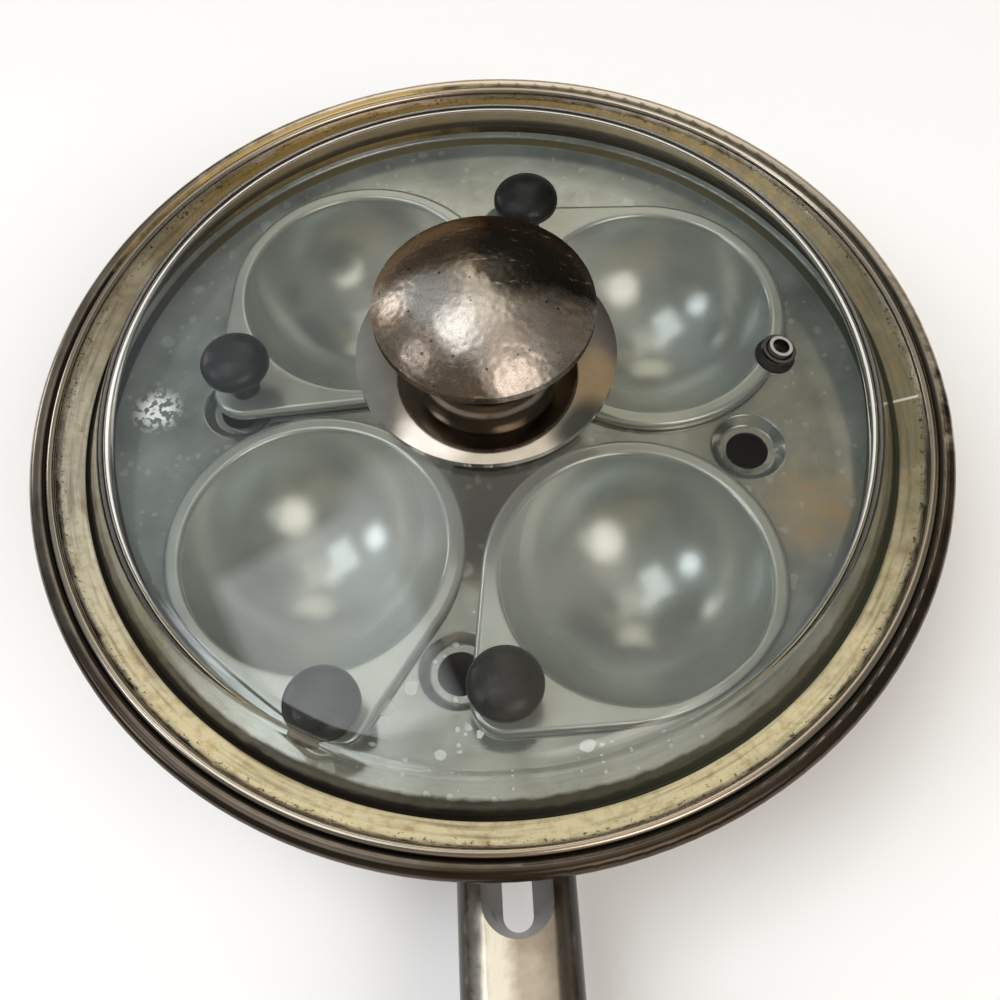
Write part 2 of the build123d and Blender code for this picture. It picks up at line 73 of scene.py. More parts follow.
class Graph:
    """Node tree of one material or of the world."""

    def __init__(self, owner: bpy.types.Material | bpy.types.World) -> None:
        """Empty the owner's node tree.

        Args:
            owner: the new material or world.
        """
        owner.use_nodes = True
        self.owner = owner
        self.tree = owner.node_tree
        self.tree.nodes.clear()

    def add(self, kind: str, feeds: dict | None = None, **settings) -> bpy.types.Node:
        """Add a node with its settings and its links.

        Args:
            kind: the node's type, without the ShaderNode that each type starts with.
            feeds: each input's name or number, and the value, node or output that feeds it.
            settings: the node's own properties.

        Returns:
            The new node.
        """
        node = self.tree.nodes.new("ShaderNode" + kind)
        for name, value in settings.items():
            setattr(node, name, value)
        for key, feed in (feeds or {}).items():
            named = [socket for socket in node.inputs if socket.enabled and socket.name == key]
            target = node.inputs[key] if isinstance(key, int) else named[0]
            if isinstance(feed, bpy.types.Node):
                feed = next(socket for socket in feed.outputs if socket.enabled)
            if isinstance(feed, bpy.types.NodeSocket):
                self.tree.links.new(feed, target)
            else:
                target.default_value = feed
        return node


def from_axis(graph: Graph, place: bpy.types.Node) -> tuple[
        bpy.types.Node, bpy.types.Node, bpy.types.NodeSocket]:
    """Find where a place lies about the pan's upright axis.

    Args:
        graph: the material's graph.
        place: the object's coordinates in millimetres.

    Returns:
        The place split in three, the place at height 0, and its distance from the axis.
    """
    split = graph.add("SeparateXYZ", {0: place})
    level = graph.add("CombineXYZ", {0: split.outputs[0], 1: split.outputs[1]})
    return split, level, graph.add("VectorMath", {0: level}, operation="LENGTH").outputs["Value"]


@dataclass(frozen=True)
class Finish:
    """Surface finish that a maker would name, built as one material."""

    name: str

    def start(self) -> tuple[Graph, bpy.types.Node]:
        """Begin the material and its coordinates.

        Returns:
            The graph, and a node that gives the object's own coordinates in millimetres.
        """
        graph = Graph(bpy.data.materials.new(self.name))
        place = graph.add("TexCoord").outputs["Object"]
        return graph, graph.add("VectorMath", {0: place, "Scale": METRE}, operation="SCALE")

    def end(self, graph: Graph, shader: bpy.types.Node) -> bpy.types.Material:
        """Join a shader to the material's output.

        Args:
            graph: the material's graph.
            shader: the last shader node.

        Returns:
            The finished material.
        """
        graph.add("OutputMaterial", {"Surface": shader})
        return graph.owner


class Grain(Enum):
    """Direction in which a steel surface was worked."""

    TURNED = "round the pan's axis, as spinning and polishing wheels leave it"
    DRAWN = "along the handle, as a belt leaves it"
    CROSSED = "in every direction, as years of scouring leave it"


@dataclass(frozen=True)
class WorkedSteel(Finish):
    """Stainless steel, drawn and polished: bright, with the fine lines of its last working."""

    colour: str = "#cfc9c0"
    shade: str = "#a79f93"
    grain: Grain = Grain.TURNED
    grain_mm: float = 0.35
    patch_mm: float = 24.0
    roughness: float = 0.2
    spread: float = 0.1
    relief_mm: float = 0.004
    wave_mm: float = 0.0
    wave_size_mm: float = 14.0
    stain: str = "#6d4a24"
    stain_share: float = 0.0
    stain_mm: float = 5.0
    pit_mm: float = 0.0
    pit_pitch: float = 1.6
    edge: str = "#ffffff"
    drawn_stretch: Triple = (1.0, 0.02, 1.0)
    turned_stretch: float = 0.8

    def worked(self, graph: Graph, place: bpy.types.Node) -> bpy.types.Node:
        """Coordinates that are stretched along the working direction.

        Args:
            graph: the material's graph.
            place: the object's coordinates in millimetres.

        Returns:
            A node whose first output is the stretched place.
        """
        if self.grain is Grain.DRAWN:
            return graph.add("VectorMath", {0: place, 1: self.drawn_stretch},
                             operation="MULTIPLY")
        if self.grain is Grain.CROSSED:
            return place
        split, _, radius = from_axis(graph, place)
        turn = graph.add("Math", {0: split.outputs[1], 1: split.outputs[0]}, operation="ARCTAN2")
        slow = graph.add("Math", {0: turn, 1: self.turned_stretch}, operation="MULTIPLY")
        return graph.add("CombineXYZ", {0: radius, 1: slow, 2: split.outputs[2]})

    def aged(self, graph: Graph, place: bpy.types.Node, colour: bpy.types.Node,
             rough: bpy.types.Node) -> Aged:
        """Leave the steel as it is, where no film or wear of its own lies on it."""
        return colour, rough, 1.0

    def rounding(self, graph: Graph, place: bpy.types.Node) -> dict[str, bpy.types.Node]:
        """Leave the normals as they are, where the CAD's facets don't show."""
        return {}

    def build(self) -> bpy.types.Material:
        """Build the steel's material.

        Returns:
            The material.
        """
        graph, place = self.start()
        along = self.worked(graph, place)
        lines = graph.add("TexNoise", {"Vector": along, "Scale": 1 / self.grain_mm, "Detail": 3.0})
        patches = graph.add("TexNoise", {"Vector": place, "Scale": 1 / self.patch_mm,
                                         "Detail": 4.0, "Roughness": 0.6})
        tone = graph.add("MapRange", {"Value": patches, "From Min": 0.35, "From Max": 0.68})
        colour = graph.add("Mix", {"Factor": tone, "A": linear(self.shade),
                                   "B": linear(self.colour)}, data_type="RGBA")
        rough = graph.add("MapRange", {"Value": lines, "From Min": 0.3, "From Max": 0.7,
                                       "To Min": self.roughness - self.spread / 2,
                                       "To Max": self.roughness + self.spread / 2})
        if self.stain_share:
            spots = graph.add("TexNoise", {"Vector": place, "Scale": 1 / self.stain_mm,
                                           "Detail": 6.0, "Roughness": 0.72})
            edge = 0.5 + 0.25 * (1 - 2 * self.stain_share)
            cover = graph.add("MapRange", {"Value": spots, "From Min": edge,
                                           "From Max": edge + 0.08, "To Max": 0.85})
            colour = graph.add("Mix", {"Factor": cover, "A": colour, "B": linear(self.stain)},
                               data_type="RGBA")
            rough = graph.add("Math", {0: cover, 1: 0.25, 2: rough}, operation="MULTIPLY_ADD")
        colour, rough, metal = self.aged(graph, place, colour, rough)
        relief = graph.add("Bump", {"Height": lines, "Distance": self.relief_mm / METRE,
                                    **self.rounding(graph, place)})
        if self.pit_mm:
            pits = graph.add("TexVoronoi", {"Vector": place, "Scale": 1 / self.pit_pitch},
                             feature="SMOOTH_F1")
            relief = graph.add("Bump", {"Height": pits, "Distance": self.pit_mm / METRE,
                                        "Normal": relief})
        if self.wave_mm:
            waves = graph.add("TexNoise", {"Vector": place, "Scale": 1 / self.wave_size_mm,
                                           "Detail": 1.5})
            relief = graph.add("Bump", {"Height": waves, "Distance": self.wave_mm / METRE,
                                        "Normal": relief})
        steel = graph.add("BsdfPrincipled", {"Base Color": colour, "Metallic": metal,
                                             "Roughness": rough, "Normal": relief,
                                             "Specular Tint": linear(self.edge)})
        return self.end(graph, steel)


@dataclass(frozen=True)
class SteamedPan(WorkedSteel):
    """Drawn steel pan with painted shade on the step that the lid and the tray sit on."""

    left_tint: str = "#191512"
    right_tint: str = "#2a271e"
    step_shade_back: str = "#4d4529"
    step_shade_golden: str = "#c4a862"
    front_rim_shade: str = "#2c231b"
    painted_highlight: str = "#f1e4d1"
    step_shade_foot: float = 45.6
    step_shade_edge: float = 120.0
    bead_ring: float = 120.7
    bead_height: float = 60.0
    bead_foot: float = 58.2
    step_shade_fades: Pair = (0.8, 0.6)
    patch_size: float = 8.0
    patch_drift: float = 45.0
    facing_ends: Pair = (0.75, 0.55)
    right_ends: Pair = (-20.0, 70.0)
    back_ends: Pair = (45.0, 100.0)
    golden_ends: Pair = (5.0, -25.0)
    rim_ends: Pair = (119.4, 120.4)
    front_rim_shade_ends: Pair = (30.0, -60.0)
    front_rim_shade_share: float = 0.85
    rim_highlight_lean: float = 0.55
    rim_highlight_ends: Pair = (45.0, 90.0)
    rim_highlight_share: float = 0.9

    def rounding(self, graph: Graph, place: bpy.types.Node) -> dict[str, bpy.types.Node]:
        """Give the rolled rim the true normals of its roll, so that no facet shows in it.

        Args:
            graph: the material's graph.
            place: the object's coordinates in millimetres.

        Returns:
            The bump's input with the normals: away from the middle of the roll on the rim, and
            the mesh's own elsewhere.
        """
        split, level, radius = from_axis(graph, place)
        outward = graph.add("VectorMath", {0: level}, operation="NORMALIZE")
        out = graph.add("Math", {0: radius, 1: self.bead_ring}, operation="SUBTRACT")
        out = graph.add("Math", {0: out, 1: 0.0}, operation="MAXIMUM")
        rise = graph.add("Math", {0: split.outputs[2], 1: self.bead_height}, operation="SUBTRACT")
        lifted = graph.add("CombineXYZ", {2: rise})
        reach = graph.add("VectorMath", {0: outward, "Scale": out}, operation="SCALE")
        roll = graph.add("VectorMath", {0: reach, 1: lifted}, operation="ADD")
        roll = graph.add("VectorMath", {0: roll}, operation="NORMALIZE")
        outer = graph.add("Math", {0: radius, 1: self.step_shade_edge}, operation="GREATER_THAN")
        above = graph.add("Math", {0: split.outputs[2], 1: self.bead_foot},
                          operation="GREATER_THAN")
        rim = graph.add("Math", {0: outer, 1: above}, operation="MULTIPLY")
        normal = graph.add("Mix", {"Factor": rim, "A": graph.add("TexCoord").outputs["Normal"],
                                   "B": roll}, data_type="VECTOR")
        return {"Normal": graph.add("VectorTransform", {0: normal}, vector_type="NORMAL",
                                    convert_from="OBJECT", convert_to="WORLD")}

    def aged(self, graph: Graph, place: bpy.types.Node, colour: bpy.types.Node,
             rough: bpy.types.Node) -> Aged:
        """Lay painted shade on the inside of the step, black, grey or golden by the side.

        Args:
            graph: the material's graph.
            place: the object's coordinates in millimetres.
            colour: the clean steel's colour.
            rough: the clean steel's roughness.

        Returns:
            The aged colour and roughness, and how far the surface is still bare metal.
        """
        split, level, radius = from_axis(graph, place)
        # Painted shade on the step's inward faces: black at the left, grey at the right, golden at
        # the back.
        normal = graph.add("TexCoord").outputs["Normal"]
        outward = graph.add("VectorMath", {0: level}, operation="NORMALIZE")
        facing = graph.add("VectorMath", {0: normal, 1: outward}, operation="DOT_PRODUCT")
        inside = graph.add("MapRange", {"Value": facing.outputs["Value"],
                                        **between(self.facing_ends)})
        edge_fade, foot_fade = self.step_shade_fades
        under = graph.add("MapRange", {"Value": radius, "From Min": self.step_shade_edge,
                                       "From Max": self.step_shade_edge - edge_fade})
        above = graph.add("MapRange", {"Value": split.outputs[2], "From Min": self.step_shade_foot,
                                       "From Max": self.step_shade_foot + foot_fade})
        sides = graph.add("Math", {0: inside, 1: under}, operation="MULTIPLY")
        cover = graph.add("Math", {0: sides, 1: above}, operation="MULTIPLY")
        patches = graph.add("TexNoise", {"Vector": place, "Scale": 1 / self.patch_size,
                                         "Detail": 5.0, "Roughness": 0.65})
        drift = graph.add("MapRange", {"Value": patches, "To Min": -self.patch_drift,
                                       "To Max": self.patch_drift})
        across = graph.add("Math", {0: split.outputs[0], 1: drift}, operation="ADD")
        along = graph.add("Math", {0: split.outputs[1], 1: drift}, operation="ADD")
        right = graph.add("MapRange", {"Value": across, **between(self.right_ends)})
        back = graph.add("MapRange", {"Value": along, **between(self.back_ends)})
        film = graph.add("Mix", {"Factor": right, "A": linear(self.left_tint),
                                 "B": linear(self.right_tint)}, data_type="RGBA")
        golden = graph.add("MapRange", {"Value": across, **between(self.golden_ends)})
        rear = graph.add("Mix", {"Factor": golden, "A": linear(self.step_shade_back),
                                 "B": linear(self.step_shade_golden)}, data_type="RGBA")
        film = graph.add("Mix", {"Factor": back, "A": film, "B": rear}, data_type="RGBA")
        # Painted shade: the rim is coloured darker towards its front.
        rim = graph.add("MapRange", {"Value": radius, **between(self.rim_ends)})
        front = graph.add("MapRange", {"Value": along, **between(self.front_rim_shade_ends),
                                       "To Max": self.front_rim_shade_share})
        front_rim_shade_mask = graph.add("Math", {0: rim, 1: front}, operation="MULTIPLY")
        colour = graph.add("Mix", {"Factor": front_rim_shade_mask, "A": colour, "B": linear(self.front_rim_shade)},
                           data_type="RGBA")
        # Painted highlight: the rim's back is coloured pale cream and made less metallic, so it
        # shows bright.
        skewed = graph.add("Math", {0: across, 1: self.rim_highlight_lean, 2: along},
                           operation="MULTIPLY_ADD")
        rear_rim_highlight = graph.add("MapRange", {"Value": skewed, **between(self.rim_highlight_ends),
                                          "To Max": self.rim_highlight_share})
        polished = graph.add("Math", {0: rim, 1: rear_rim_highlight}, operation="MULTIPLY")
        colour = graph.add("Mix", {"Factor": polished, "A": colour,
                                   "B": linear(self.painted_highlight)}, data_type="RGBA")
        colour = graph.add("Mix", {"Factor": cover, "A": colour, "B": film}, data_type="RGBA")
        rough = graph.add("Math", {0: cover, 1: 0.06, 2: rough}, operation="MULTIPLY_ADD")
        worn = graph.add("MapRange", {"Value": polished, "To Min": 1.0, "To Max": 0.68})
        bare = graph.add("MapRange", {"Value": cover, "To Min": worn, "To Max": 0.35})
        return colour, rough, bare


@dataclass(frozen=True)
class StainedRing(Finish):
    """Steel lid ring, polished outside, with a film of boiled water on its flat band.

    The film is cream in front, grey-tan at the left, brown at the right and golden at the back,
    with burnt crumbs along the band's edges, and a painted highlight along the butt joint across
    it.
    """

    steel: str = "#c2b8aa"
    film_front: str = "#ecdeb2"
    left_tint: str = "#ebe7d5"
    right_tint: str = "#8f876c"
    film_back_left: str = "#9c8450"
    film_back_right: str = "#5f5540"
    gold: str = "#a5813e"
    streak: str = "#6a6048"
    seam_highlight: str = "#efe9da"
    burnt: str = "#3c2c18"
    band_outer: float = 115.4
    half_span: float = 113.0
    seam_degrees: float = -2.4
    seam_width: float = 0.5
    band_fade: float = 0.4
    wobble_size: float = 7.0
    wobble_mm: float = 1.1
    patch_size: float = 16.0
    patch_drift: float = 40.0
    back_ends: Pair = (10.0, 90.0)
    front_ends: Pair = (-20.0, -90.0)
    mottle_size: float = 3.4
    gold_share: float = 0.5
    streak_size: float = 1.1
    streak_share: float = 0.6
    streak_stretch: float = 5.0
    crumb_edge: float = 114.8
    crumb_reach: float = 2.2
    crumb_size: float = 1.3
    chalk_ends: Pair = (-100.0, 60.0)
    relief_mm: float = 0.03

    def build(self) -> bpy.types.Material:
        """Build the ring's material, its band found by its distance from the pan's axis.

        Returns:
            The material.
        """
        graph, place = self.start()
        split, _, radius = from_axis(graph, place)
        wobble = graph.add("TexNoise", {"Vector": place, "Scale": 1 / self.wobble_size,
                                        "Detail": 6.0, "Roughness": 0.65})
        shift = graph.add("MapRange", {"Value": wobble, "To Min": -self.wobble_mm,
                                       "To Max": self.wobble_mm})
        ragged = graph.add("Math", {0: radius, 1: shift}, operation="ADD")
        band = graph.add("MapRange", {"Value": ragged,
                                      "From Min": self.band_outer + self.band_fade,
                                      "From Max": self.band_outer - self.band_fade})
        patches = graph.add("TexNoise", {"Vector": place, "Scale": 1 / self.patch_size,
                                         "Detail": 5.0, "Roughness": 0.6})
        drift = graph.add("MapRange", {"Value": patches, "To Min": -self.patch_drift,
                                       "To Max": self.patch_drift})
        across = graph.add("Math", {0: split.outputs[0], 1: drift}, operation="ADD")
        along = graph.add("Math", {0: split.outputs[1], 1: drift}, operation="ADD")
        right = graph.add("MapRange", {"Value": across, "From Min": -self.half_span,
                                       "From Max": self.half_span})
        back = graph.add("MapRange", {"Value": along, **between(self.back_ends)})
        front = graph.add("MapRange", {"Value": along, **between(self.front_ends)})
        film = graph.add("Mix", {"Factor": right, "A": linear(self.left_tint),
                                 "B": linear(self.right_tint)}, data_type="RGBA")
        film = graph.add("Mix", {"Factor": front, "A": film, "B": linear(self.film_front)},
                         data_type="RGBA")
        rear = graph.add("Mix", {"Factor": right, "A": linear(self.film_back_left),
                                 "B": linear(self.film_back_right)}, data_type="RGBA")
        film = graph.add("Mix", {"Factor": back, "A": film, "B": rear}, data_type="RGBA")
        mottle = graph.add("TexNoise", {"Vector": place, "Scale": 1 / self.mottle_size,
                                        "Detail": 6.0, "Roughness": 0.7})
        golden = graph.add("MapRange", {"Value": mottle, "From Min": 0.48, "From Max": 0.68,
                                        "To Max": self.gold_share})
        film = graph.add("Mix", {"Factor": golden, "A": film, "B": linear(self.gold)},
                         data_type="RGBA")
        turn = graph.add("Math", {0: split.outputs[1], 1: split.outputs[0]}, operation="ARCTAN2")
        slow = graph.add("Math", {0: turn, 1: self.streak_stretch}, operation="MULTIPLY")
        wound = graph.add("CombineXYZ", {0: radius, 1: slow})
        lines = graph.add("TexNoise", {"Vector": wound, "Scale": 1 / self.streak_size,
                                       "Detail": 4.0})
        streaks = graph.add("MapRange", {"Value": lines, "From Min": 0.48, "From Max": 0.7,
                                         "To Max": self.streak_share})
        film = graph.add("Mix", {"Factor": streaks, "A": film, "B": linear(self.streak)},
                         data_type="RGBA")
        colour = graph.add("Mix", {"Factor": band, "A": linear(self.steel), "B": film},
                           data_type="RGBA")
        rim = graph.add("Math", {0: radius, 1: self.crumb_edge}, operation="SUBTRACT")
        edge = graph.add("Math", {0: rim}, operation="ABSOLUTE")
        close = graph.add("MapRange", {"Value": edge, "From Max": self.crumb_reach,
                                       "To Min": 0.12, "To Max": 0.0})
        specks = graph.add("TexNoise", {"Vector": place, "Scale": 1 / self.crumb_size,
                                        "Detail": 5.0, "Roughness": 0.75})
        dense = graph.add("Math", {0: specks, 1: close}, operation="ADD")
        crumbs = graph.add("MapRange", {"Value": dense, "From Min": 0.66, "From Max": 0.72,
                                        "To Max": 0.9})
        off = graph.add("Math", {0: turn, 1: math.radians(self.seam_degrees)},
                        operation="SUBTRACT")
        arc = graph.add("Math", {0: off, 1: radius}, operation="MULTIPLY")
        gap = graph.add("Math", {0: arc}, operation="ABSOLUTE")
        seam = graph.add("MapRange", {"Value": gap, "From Min": self.seam_width,
                                      "From Max": self.seam_width / 2})
        joint = graph.add("Math", {0: band, 1: seam}, operation="MULTIPLY")
        colour = graph.add("Mix", {"Factor": crumbs, "A": colour, "B": linear(self.burnt)},
                           data_type="RGBA")
        # Painted highlight: a pale line along the butt joint across the band.
        colour = graph.add("Mix", {"Factor": joint, "A": colour,
                                   "B": linear(self.seam_highlight)}, data_type="RGBA")
        dull = graph.add("MapRange", {"Value": band, "To Min": 0.15, "To Max": 0.27})
        chalky = graph.add("MapRange", {"Value": along, **between(self.chalk_ends),
                                        "To Min": 0.25, "To Max": 0.85})
        metal = graph.add("Mix", {"Factor": band, "A": 1.0, "B": chalky}, data_type="FLOAT")
        relief = graph.add("Bump", {"Height": mottle, "Distance": self.relief_mm / METRE})
        ring = graph.add("BsdfPrincipled", {"Base Color": colour, "Metallic": metal,
                                            "Roughness": dull, "Normal": relief})
        return self.end(graph, ring)


@dataclass(frozen=True)
class SpottedTray(WorkedSteel):
    """Polished tray plate with pale spots of dried water, a warm patch and a painted white
    highlight.
    """

    spot: str = "#d9ddd9"
    spot_kinds: tuple[Pair, ...] = ((7.0, 0.35), (2.66, 0.6))
    spot_place: Pair = (2.0, -96.0)
    spot_ends: Pair = (54.4, 20.4)
    spot_shares: Pair = (0.14, 0.95)
    warp_size: float = 5.0
    warp_mm: Triple = (2.6, 2.6, 0.0)
    warm_patch: str = "#b9a283"
    glint_place: Pair = (-92.5, 12.5)
    glint_ends: Pair = (8.0, 2.8)
    glint: str = "#ffffff"
    fleck_size: float = 1.8
    warm_patch_place: Pair = (87.0, -30.0)
    warm_patch_ends: Pair = (17.0, 5.1)
    warm_patch_size: float = 6.0
    margin_inner: float = 105.4
    margin_outer: float = 108.6
    margin_fades: Pair = (0.5, 0.2)
    right_ends: Pair = (-20.0, 80.0)
    back_ends: Pair = (40.0, 95.0)
    clean_ends: Pair = (40.0, 100.0)
    clean_metal: float = 0.68
    covered_metal: float = 0.1
    margin_left: str = "#24201e"
    margin_right: str = "#474b42"
    margin_back: str = "#5f573f"

    def aged(self, graph: Graph, place: bpy.types.Node, colour: bpy.types.Node,
             rough: bpy.types.Node) -> Aged:
        """Lay the dried spots, the warm patch, the painted highlight and the margin's painted
        shade.

        Args:
            graph: the material's graph.
            place: the object's coordinates in millimetres.
            colour: the clean steel's colour.
            rough: the clean steel's roughness.

        Returns:
            The aged colour and roughness, and how far the surface is still bare metal.
        """
        flat = graph.add("VectorMath", {0: place, 1: (1.0, 1.0, 0.0)}, operation="MULTIPLY")
        warp = graph.add("TexNoise", {"Vector": place, "Scale": 1 / self.warp_size,
                                      "Detail": 4.0})
        bent = graph.add("VectorMath", {0: warp.outputs["Color"], 1: self.warp_mm, 2: flat},
                         operation="MULTIPLY_ADD")
        spots = None
        for pitch, rarity in self.spot_kinds:
            cells = graph.add("TexVoronoi", {"Vector": bent, "Scale": 1 / pitch})
            size = graph.add("SeparateColor", {0: cells.outputs["Color"]})
            reach = graph.add("MapRange", {"Value": size, "From Min": rarity, "To Min": 0.0,
                                           "To Max": 0.34})
            short = graph.add("Math", {0: cells.outputs["Distance"], 1: reach},
                              operation="SUBTRACT")
            drops = graph.add("MapRange", {"Value": short, "From Min": 0.03,
                                           "From Max": -0.03})
            spots = drops if spots is None else graph.add("Math", {0: spots, 1: drops},
                                                          operation="MAXIMUM")
        gap = graph.add("VectorMath", {0: flat, 1: (*self.spot_place, 0.0)},
                        operation="DISTANCE")
        near = graph.add("MapRange", {"Value": gap.outputs["Value"], **between(self.spot_ends),
                                      "To Min": self.spot_shares[0],
                                      "To Max": self.spot_shares[1]})
        cover = graph.add("Math", {0: spots, 1: near}, operation="MULTIPLY")
        colour = graph.add("Mix", {"Factor": cover, "A": colour, "B": linear(self.spot)},
                           data_type="RGBA")
        rough = graph.add("Math", {0: cover, 1: 0.3, 2: rough}, operation="MULTIPLY_ADD")
        # A warm mottled patch towards the right of the tray.
        away = graph.add("VectorMath", {0: bent, 1: (*self.warm_patch_place, 0.0)},
                         operation="DISTANCE")
        warm = graph.add("MapRange", {"Value": away.outputs["Value"],
                                      **between(self.warm_patch_ends)})
        clouds = graph.add("TexNoise", {"Vector": place, "Scale": 1 / self.warm_patch_size,
                                        "Detail": 5.0, "Roughness": 0.65})
        mottled = graph.add("MapRange", {"Value": clouds, "From Min": 0.38, "From Max": 0.6,
                                         "To Min": 0.2, "To Max": 0.95})
        warm = graph.add("Math", {0: warm, 1: mottled}, operation="MULTIPLY")
        colour = graph.add("Mix", {"Factor": warm, "A": colour, "B": linear(self.warm_patch)},
                           data_type="RGBA")
        # Painted highlight: near-white, nearly non-metallic flecks round a place at the left stand
        # in for a glint.
        apart = graph.add("VectorMath", {0: bent, 1: (*self.glint_place, 0.0)},
                          operation="DISTANCE")
        close = graph.add("MapRange", {"Value": apart.outputs["Value"],
                                       **between(self.glint_ends)})
        chips = graph.add("TexNoise", {"Vector": place, "Scale": 1 / self.fleck_size,
                                       "Detail": 3.0})
        sharp = graph.add("MapRange", {"Value": chips, "From Min": 0.44, "From Max": 0.52})
        glints = graph.add("Math", {0: close, 1: sharp}, operation="MULTIPLY")
        cover = graph.add("Math", {0: cover, 1: glints}, operation="MAXIMUM")
        colour = graph.add("Mix", {"Factor": glints, "A": colour, "B": linear(self.glint)},
                           data_type="RGBA")
        # Painted shade round the tray's margin: near-black at the left, olive at the right, golden
        # at the back.
        radius = graph.add("VectorMath", {0: flat}, operation="LENGTH").outputs["Value"]
        inner_fade, outer_fade = self.margin_fades
        inner = graph.add("MapRange", {"Value": radius,
                                       "From Min": self.margin_inner - inner_fade,
                                       "From Max": self.margin_inner + inner_fade})
        outer = graph.add("MapRange", {"Value": radius,
                                       "From Min": self.margin_outer + outer_fade,
                                       "From Max": self.margin_outer - outer_fade})
        margin = graph.add("Math", {0: inner, 1: outer}, operation="MULTIPLY")
        split = graph.add("SeparateXYZ", {0: place})
        right = graph.add("MapRange", {"Value": split.outputs[0], **between(self.right_ends)})
        back = graph.add("MapRange", {"Value": split.outputs[1], **between(self.back_ends)})
        film = graph.add("Mix", {"Factor": right, "A": linear(self.margin_left),
                                 "B": linear(self.margin_right)}, data_type="RGBA")
        film = graph.add("Mix", {"Factor": back, "A": film, "B": linear(self.margin_back)},
                         data_type="RGBA")
        colour = graph.add("Mix", {"Factor": margin, "A": colour, "B": film}, data_type="RGBA")
        covered = graph.add("Math", {0: cover, 1: margin}, operation="MAXIMUM")
        clean = graph.add("MapRange", {"Value": radius, **between(self.clean_ends),
                                       "To Min": 1.0, "To Max": self.clean_metal})
        bare = graph.add("MapRange", {"Value": covered, "To Min": clean,
                                      "To Max": self.covered_metal})
        return colour, rough, bare


@dataclass(frozen=True)
class ScuffedKnob(WorkedSteel):
    """Pressed steel knob, once bright, now tarnished brown and full of nicks and rubs."""

    tarnish: str = "#3f3029"
    shade_brown: str = "#857565"
    shade_black: str = "#44423d"
    bright: str = "#d9cfc6"
    nick_pitch: float = 2.4
    rub_mm: float = 1.4
    rub_stretch: Triple = (0.25, 1.0, 1.0)
    cloud_size: float = 13.0
    cloud_drift: float = 7.0
    shift_ends: Pair = (-4.0, 5.0)
    shift_mm: float = 6.0
    back_ends: Pair = (0.0, 5.0)
    corner_ends: Pair = (-22.0, -28.0)
    black_ends: Pair = (-6.0, 2.0)

    def aged(self, graph: Graph, place: bpy.types.Node, colour: bpy.types.Node,
             rough: bpy.types.Node) -> Aged:
        """Lay tarnish, painted shade, bright rubs and dark nicks on the clean steel.

        Args:
            graph: the material's graph.
            place: the object's coordinates in millimetres.
            colour: the clean steel's colour.
            rough: the clean steel's roughness.

        Returns:
            The aged colour and roughness, and how far the surface is still bare metal.
        """
        clouds = graph.add("TexNoise", {"Vector": place, "Scale": 1 / self.cloud_size,
                                        "Detail": 7.0, "Roughness": 0.66, "Distortion": 0.6})
        brown = graph.add("MapRange", {"Value": clouds, "From Min": 0.5, "From Max": 0.66,
                                       "To Max": 0.45})
        colour = graph.add("Mix", {"Factor": brown, "A": colour, "B": linear(self.tarnish)},
                           data_type="RGBA")
        # Painted shade over the dome's back and its front-left: brown at the left, black at the
        # right.
        drift = graph.add("MapRange", {"Value": clouds, "To Min": -self.cloud_drift,
                                       "To Max": self.cloud_drift})
        split = graph.add("SeparateXYZ", {0: place})
        along = graph.add("Math", {0: split.outputs[1], 1: drift}, operation="ADD")
        across = graph.add("Math", {0: split.outputs[0], 1: drift}, operation="ADD")
        nearer = graph.add("MapRange", {"Value": across, **between(self.shift_ends),
                                        "To Max": self.shift_mm})
        reached = graph.add("Math", {0: along, 1: nearer}, operation="ADD")
        back = graph.add("MapRange", {"Value": reached, **between(self.back_ends),
                                      "To Max": 0.96})
        corner = graph.add("Math", {0: across, 1: along}, operation="ADD")
        front_left = graph.add("MapRange", {"Value": corner, **between(self.corner_ends),
                                            "To Max": 0.9})
        shaded = graph.add("Math", {0: back, 1: front_left}, operation="MAXIMUM")
        right = graph.add("MapRange", {"Value": across, **between(self.black_ends)})
        dark = graph.add("Mix", {"Factor": right, "A": linear(self.shade_brown),
                                 "B": linear(self.shade_black)}, data_type="RGBA")
        colour = graph.add("Mix", {"Factor": shaded, "A": colour, "B": dark},
                           data_type="RGBA")
        rubs = graph.add("TexNoise", {"Vector": graph.add(
            "VectorMath", {0: place, 1: self.rub_stretch}, operation="MULTIPLY"),
            "Scale": 1 / self.rub_mm, "Detail": 4.0, "Roughness": 0.7})
        worn = graph.add("MapRange", {"Value": rubs, "From Min": 0.6, "From Max": 0.7,
                                      "To Max": 0.6})
        colour = graph.add("Mix", {"Factor": worn, "A": colour, "B": linear(self.bright)},
                           data_type="RGBA")
        cells = graph.add("TexVoronoi", {"Vector": place, "Scale": 1 / self.nick_pitch})
        size = graph.add("SeparateColor", {0: cells.outputs["Color"]})
        reach = graph.add("MapRange", {"Value": size, "From Min": 0.55, "To Max": 0.16})
        short = graph.add("Math", {0: cells.outputs["Distance"], 1: reach},
                          operation="SUBTRACT")
        nicks = graph.add("MapRange", {"Value": short, "From Min": 0.04, "From Max": -0.02,
                                       "To Max": 0.8})
        colour = graph.add("Mix", {"Factor": nicks, "A": colour, "B": linear(self.tarnish)},
                           data_type="RGBA")
        rough = graph.add("Math", {0: worn, 1: 0.1, 2: rough}, operation="MULTIPLY_ADD")
        bare = graph.add("MapRange", {"Value": shaded, "To Min": 1.0, "To Max": 0.97})
        return colour, rough, bare


